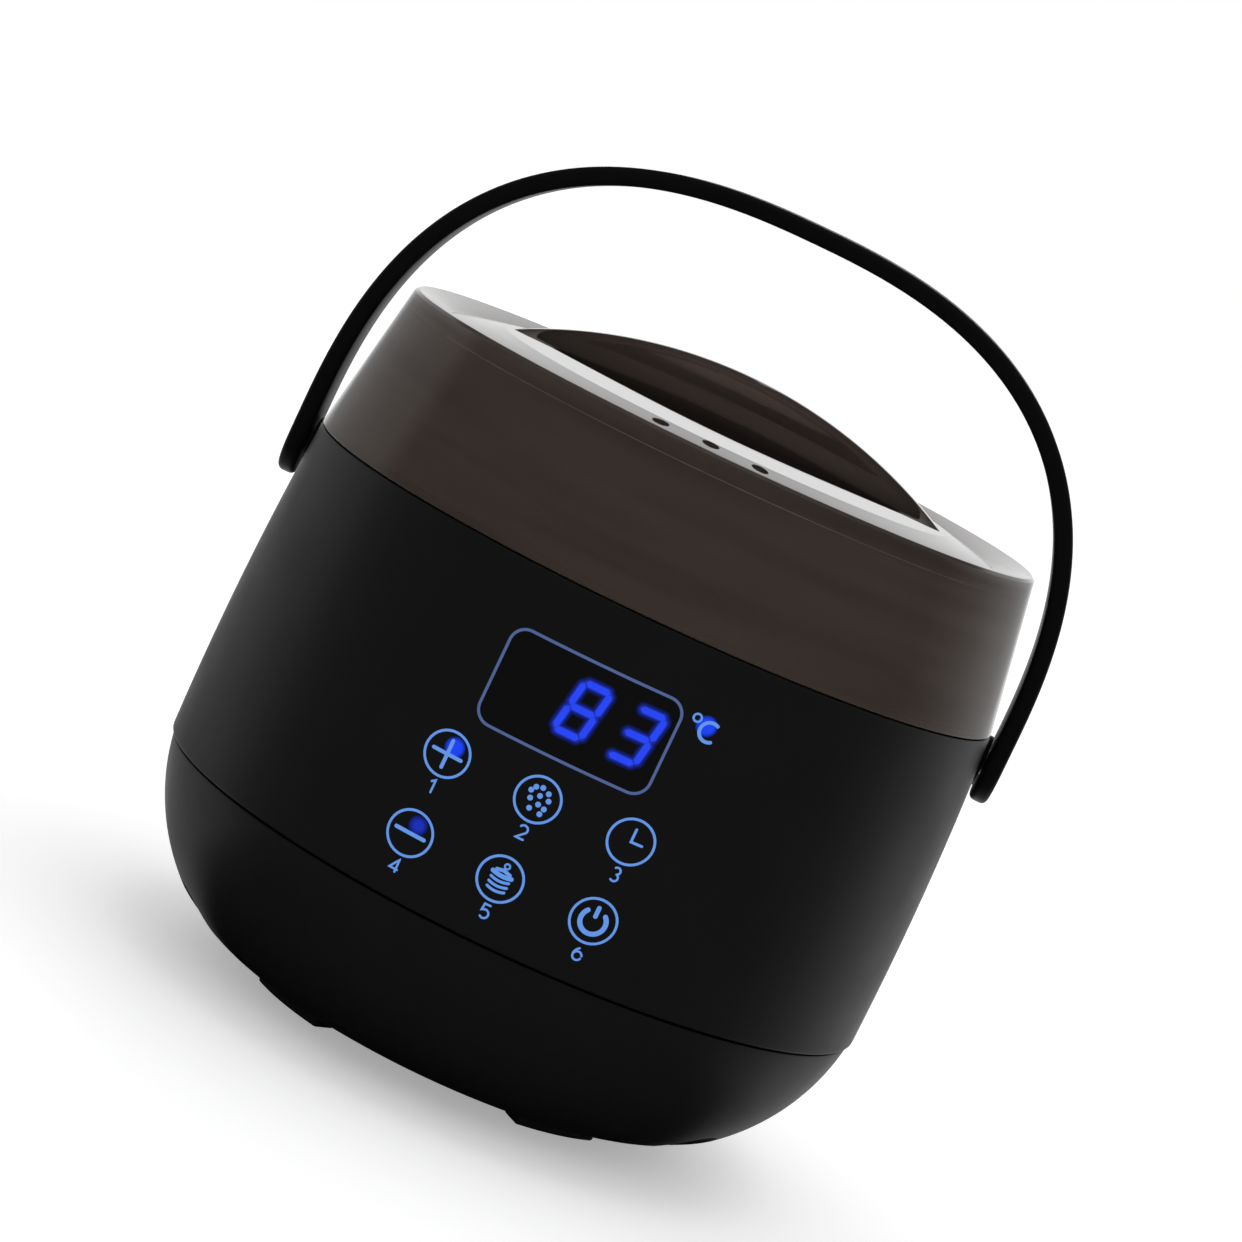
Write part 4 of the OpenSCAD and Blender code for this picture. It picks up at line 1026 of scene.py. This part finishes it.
signs += [ribbon([(key_x + 2.7, upper_z), (key_x, upper_z), (key_x, upper_z + 3.1)], thin),
          ribbon(arc((key_x, lower_z - 0.1), 2.7, 125, 415, 40), 1.05),
          ribbon([(key_x, lower_z + 0.6), (key_x, lower_z + 3.5)], thick)]
print(len(signs), "strokes")

# %% Can sign
for rise, half in ((-2.7, 2.2), (-1.6, 2.3), (-0.5, 2.3)):
    bow = [(half * k / 6, lower_z + rise + 0.5 * (k / 6) ** 2) for k in range(-6, 7)]
    signs.append(ribbon(bow, 0.6))
can_top = [(2.6 * k / 6, lower_z + 0.7 + 0.45 * (k / 6) ** 2 - 0.1 * k / 6) for k in range(-6, 7)]
signs += [ribbon(can_top, thick),
          ribbon([(-1.9, lower_z + 1.6), (0, lower_z + 1.95), (1.9, lower_z + 1.4)], 0.8),
          ribbon(arc((0.3, lower_z + 3.0), 0.55, 0, 350, 20), 0.4, closed=True)]

# %% Numbers under the keys
figures = {
    1: [[(-0.7, 2.3), (0.2, 3.0), (0.2, 0)]],
    2: [arc((0, 2.1), 0.9, 165, -35, 12) + [(-0.95, 0.05), (1.0, 0.05)]],
    3: [arc((0, 2.25), 0.75, 150, -90, 12), arc((0, 0.78), 0.8, 90, -150, 12)],
    4: [[(0.45, 0), (0.45, 3.0), (-1.0, 0.8), (1.0, 0.8)]],
    5: [[(0.85, 3.0), (-0.65, 3.0), (-0.8, 1.6)] + arc((0, 0.95), 0.95, 120, -145, 14)],
    6: [arc((0.9, 1.0), 1.9, 115, 180, 8), arc((0, 0.95), 0.95, 0, 350, 20)],
}
places = [(x, z) for z in (upper_z, lower_z) for x in (-key_x, 0, key_x)]
figure_drop, figure_line = 9.0, 0.45
for number, (x, z) in enumerate(places, 1):
    for stroke in figures[number]:
        signs.append(ribbon([(x + dx, z - figure_drop + dz) for dx, dz in stroke], figure_line))

# %% Degrees sign
signs += [ribbon(arc((22.5, 103.4), 0.85, 0, 350, 20), 0.45, 0.03, closed=True),
          ribbon(arc((26.0, 101.5), 2.1, 50, 310, 30), 0.75, 0.03)]
printed("key_signs", signs, light("sign_light", (0, 0, 0), (0.136, 0.33, 0.86)))

# %% Lamps behind the signs
lamp_lift = 0.012
lamps = [spot((-key_x + 0.9, upper_z + 1.9), 2.35, lamp_lift, 0.35),
         spot((24.9, 102.5), 2.4, lamp_lift, 0.35)]
printed("lamp_spots", lamps, light("lamp_light", (0, 0, 0.002), (0.01, 0.06, 1.0)))
dim = [spot((-key_x + 0.9, lower_z + 2.2), 2.3, lamp_lift, 0.6)]
printed("lamp_spot_dim", dim, light("dim_light", (0, 0, 0.002), (0.008, 0.03, 0.5)))

# %% [markdown]
# ## Room for the picture
# The warmer stands on a pale floor in a soft studio. Glossy black plastic shows its studio more than
# itself, so grey cards stand all round it, seen by reflections only. The round card is black in front
# and lighter to the back, which lights a band along each side of the drum. A floor card carries the same
# tones down the side, and a dark ceiling card closes the room. The grip and the bail were left out of
# reflections above, because their mirror images made dark patches. None of this is part of the warmer.

# %% Floor
recipe = Recipe("studio_floor")
rays = recipe.add("ShaderNodeLightPath", output="Is Camera Ray")
tone = recipe.noise(300)
recipe.finish({"Base Color": recipe.mix(tone, (0.86, 0.86, 0.86), (0.9, 0.9, 0.9)),
               "Roughness": (tone - 0.5) * 0.1 + 0.6,
               "Emission Color": recipe.mix(rays, (0, 0, 0), (0.35, 0.35, 0.35)),
               "Emission Strength": 1.0})
half = 6000
floor = new_piece("studio_floor", [(-half, -half, 0), (half, -half, 0), (half, half, 0), (-half, half, 0)],
                  [[0, 1, 2, 3]])
floor.data.materials.append(recipe.owner)
floor.visible_glossy = False

# %% Tones of the cards
card_r, card_h = 2200, 1500
left_tones = [(0, 0.0), (92, 0.0), (102, 0.3), (130, 0.3), (155, 0.35), (168, 1.0), (180, 1.0)]
right_tones = [(0, 0.0), (92, 0.0), (110, 0.22), (130, 0.42), (160, 0.5), (170, 1.0), (180, 1.0)]


def card_light(turn):
    """How light the studio is at a turn from the front: negative turns are on the left."""
    tones = left_tones if turn < 0 else right_tones
    for (start, first), (end, second) in zip(tones, tones[1:]):
        if abs(turn) <= end:
            return first + (second - first) * (abs(turn) - start) / (end - start)
    return tones[-1][1]


def landing(turn, radius):
    """The turn at which a reflection left the drum's side, when it lands on the floor at this place."""
    if radius < 1.2 * body_r:
        return 1.3 * turn
    facing = turn / 2
    for _ in range(20):
        aside = min(1.0, body_r * abs(sine(facing)) / radius)
        facing = (turn + math.copysign(math.degrees(math.asin(aside)), turn)) / 2
    return max(-180.0, min(180.0, 2 * facing))


# %% Cards
def card(name, points, lights, faces, dark):
    """A sheet that only reflections see. It gives off light where it is lit."""
    recipe = Recipe(name)
    lit = recipe.add("ShaderNodeAttribute", {"attribute_name": "lit"}, output=2)
    recipe.finish({"Base Color": (0, 0, 0), "Roughness": 1.0, "Emission Strength": 1.0,
                   "Emission Color": recipe.mix(lit, (dark, dark, dark), (1, 1, 1))})
    piece = new_piece(name, points, faces, 60)
    piece.data.attributes.new("lit", "FLOAT", "POINT").data.foreach_set("value", lights)
    piece.data.materials.append(recipe.owner)
    piece.visible_camera = piece.visible_diffuse = piece.visible_shadow = False
    piece.visible_transmission = False


# The cards stay open by a narrow gap at the back, so that no two points of a ring meet.
strips = 70
turns = [-178.5 + 5.1 * i for i in range(strips + 1)]
spread = [(cosine(turn - 90), sine(turn - 90)) for turn in turns]
under = -1
points = [(card_r * x, card_r * y, z) for x, y in spread for z in (under, card_h)]
lights = [card_light(turn) for turn in turns for _ in (under, card_h)]
faces = [[2 * i, 2 * i + 2, 2 * i + 3, 2 * i + 1] for i in range(strips)]
card("round_card", points, lights, faces, 0.004)

# %% Floor and ceiling cards
inner = 1
reaches = (inner, 50, 100, 130, 230, 400, 800, card_r)
points = [(radius * x, radius * y, under) for radius in reaches for x, y in spread]
lights = [0.0 if radius == inner else card_light(landing(turn, radius))
          for radius in reaches for turn in turns]
faces = []
for start in range(0, (len(reaches) - 1) * len(turns), len(turns)):
    following = start + len(turns)
    faces += [[start + i, start + i + 1, following + i + 1, following + i] for i in range(strips)]
card("floor_card", points, lights, faces, 0.006)
points = [(radius * x, radius * y, card_h) for radius in (inner, card_r) for x, y in spread]
card("ceiling_card", points, [0.0] * len(points), faces[:strips], 0.03)

# %% Surrounding light
recipe = Recipe("studio", bpy.data.worlds.new("studio"))
camera_ray = recipe.add("ShaderNodeLightPath", output="Is Camera Ray")
glossy_ray = recipe.add("ShaderNodeLightPath", output="Is Glossy Ray")
through_ray = recipe.add("ShaderNodeLightPath", output="Is Transmission Ray")
seen = recipe.ramp(camera_ray + glossy_ray + through_ray, 0.0, 1.0)
colour = recipe.mix(seen, (0.75, 0.75, 0.75), (1, 1, 1))
background = recipe.add("ShaderNodeBackground", None, {"Color": colour, "Strength": 1.0})
recipe.add("ShaderNodeOutputWorld", None, {"Surface": background})
bpy.context.scene.world = recipe.owner

# %% Overhead lamp
lamp = bpy.data.lights.new("overhead", "AREA")
lamp.shape, lamp.size, lamp.energy = "DISK", 1.6, 9.0
overhead = stand("overhead", lamp)
overhead.location = (0.1, 0.2, 2.2)
overhead.visible_glossy = False

# %% Camera
bow, climb, roll = math.radians(1.99), math.radians(-6.86), math.radians(25.32)
distance, eye_z, aside = 958.6, 220.3, 1.8
forward = Vector((-math.sin(bow) * math.cos(climb), math.cos(bow) * math.cos(climb), math.sin(climb)))
right = Vector((math.cos(bow), math.sin(bow), 0))
up = right.cross(forward)
camera_x = right * math.cos(roll) + up * math.sin(roll)
camera_y = up * math.cos(roll) - right * math.sin(roll)
eye = Vector((distance * sine(aside), -distance * cosine(aside), eye_z)) * MM
lens = bpy.data.cameras.new("camera")
lens.lens, lens.sensor_width = 124.26, 36.0
lens.clip_start, lens.clip_end = 0.05, 50.0
camera = stand("camera", lens)
axes = Matrix((camera_x, camera_y, -forward)).transposed()
camera.matrix_world = Matrix.Translation(eye) @ axes.to_4x4()
bpy.context.scene.camera = camera

# %% Colours
bpy.context.scene.view_settings.view_transform = "Standard"
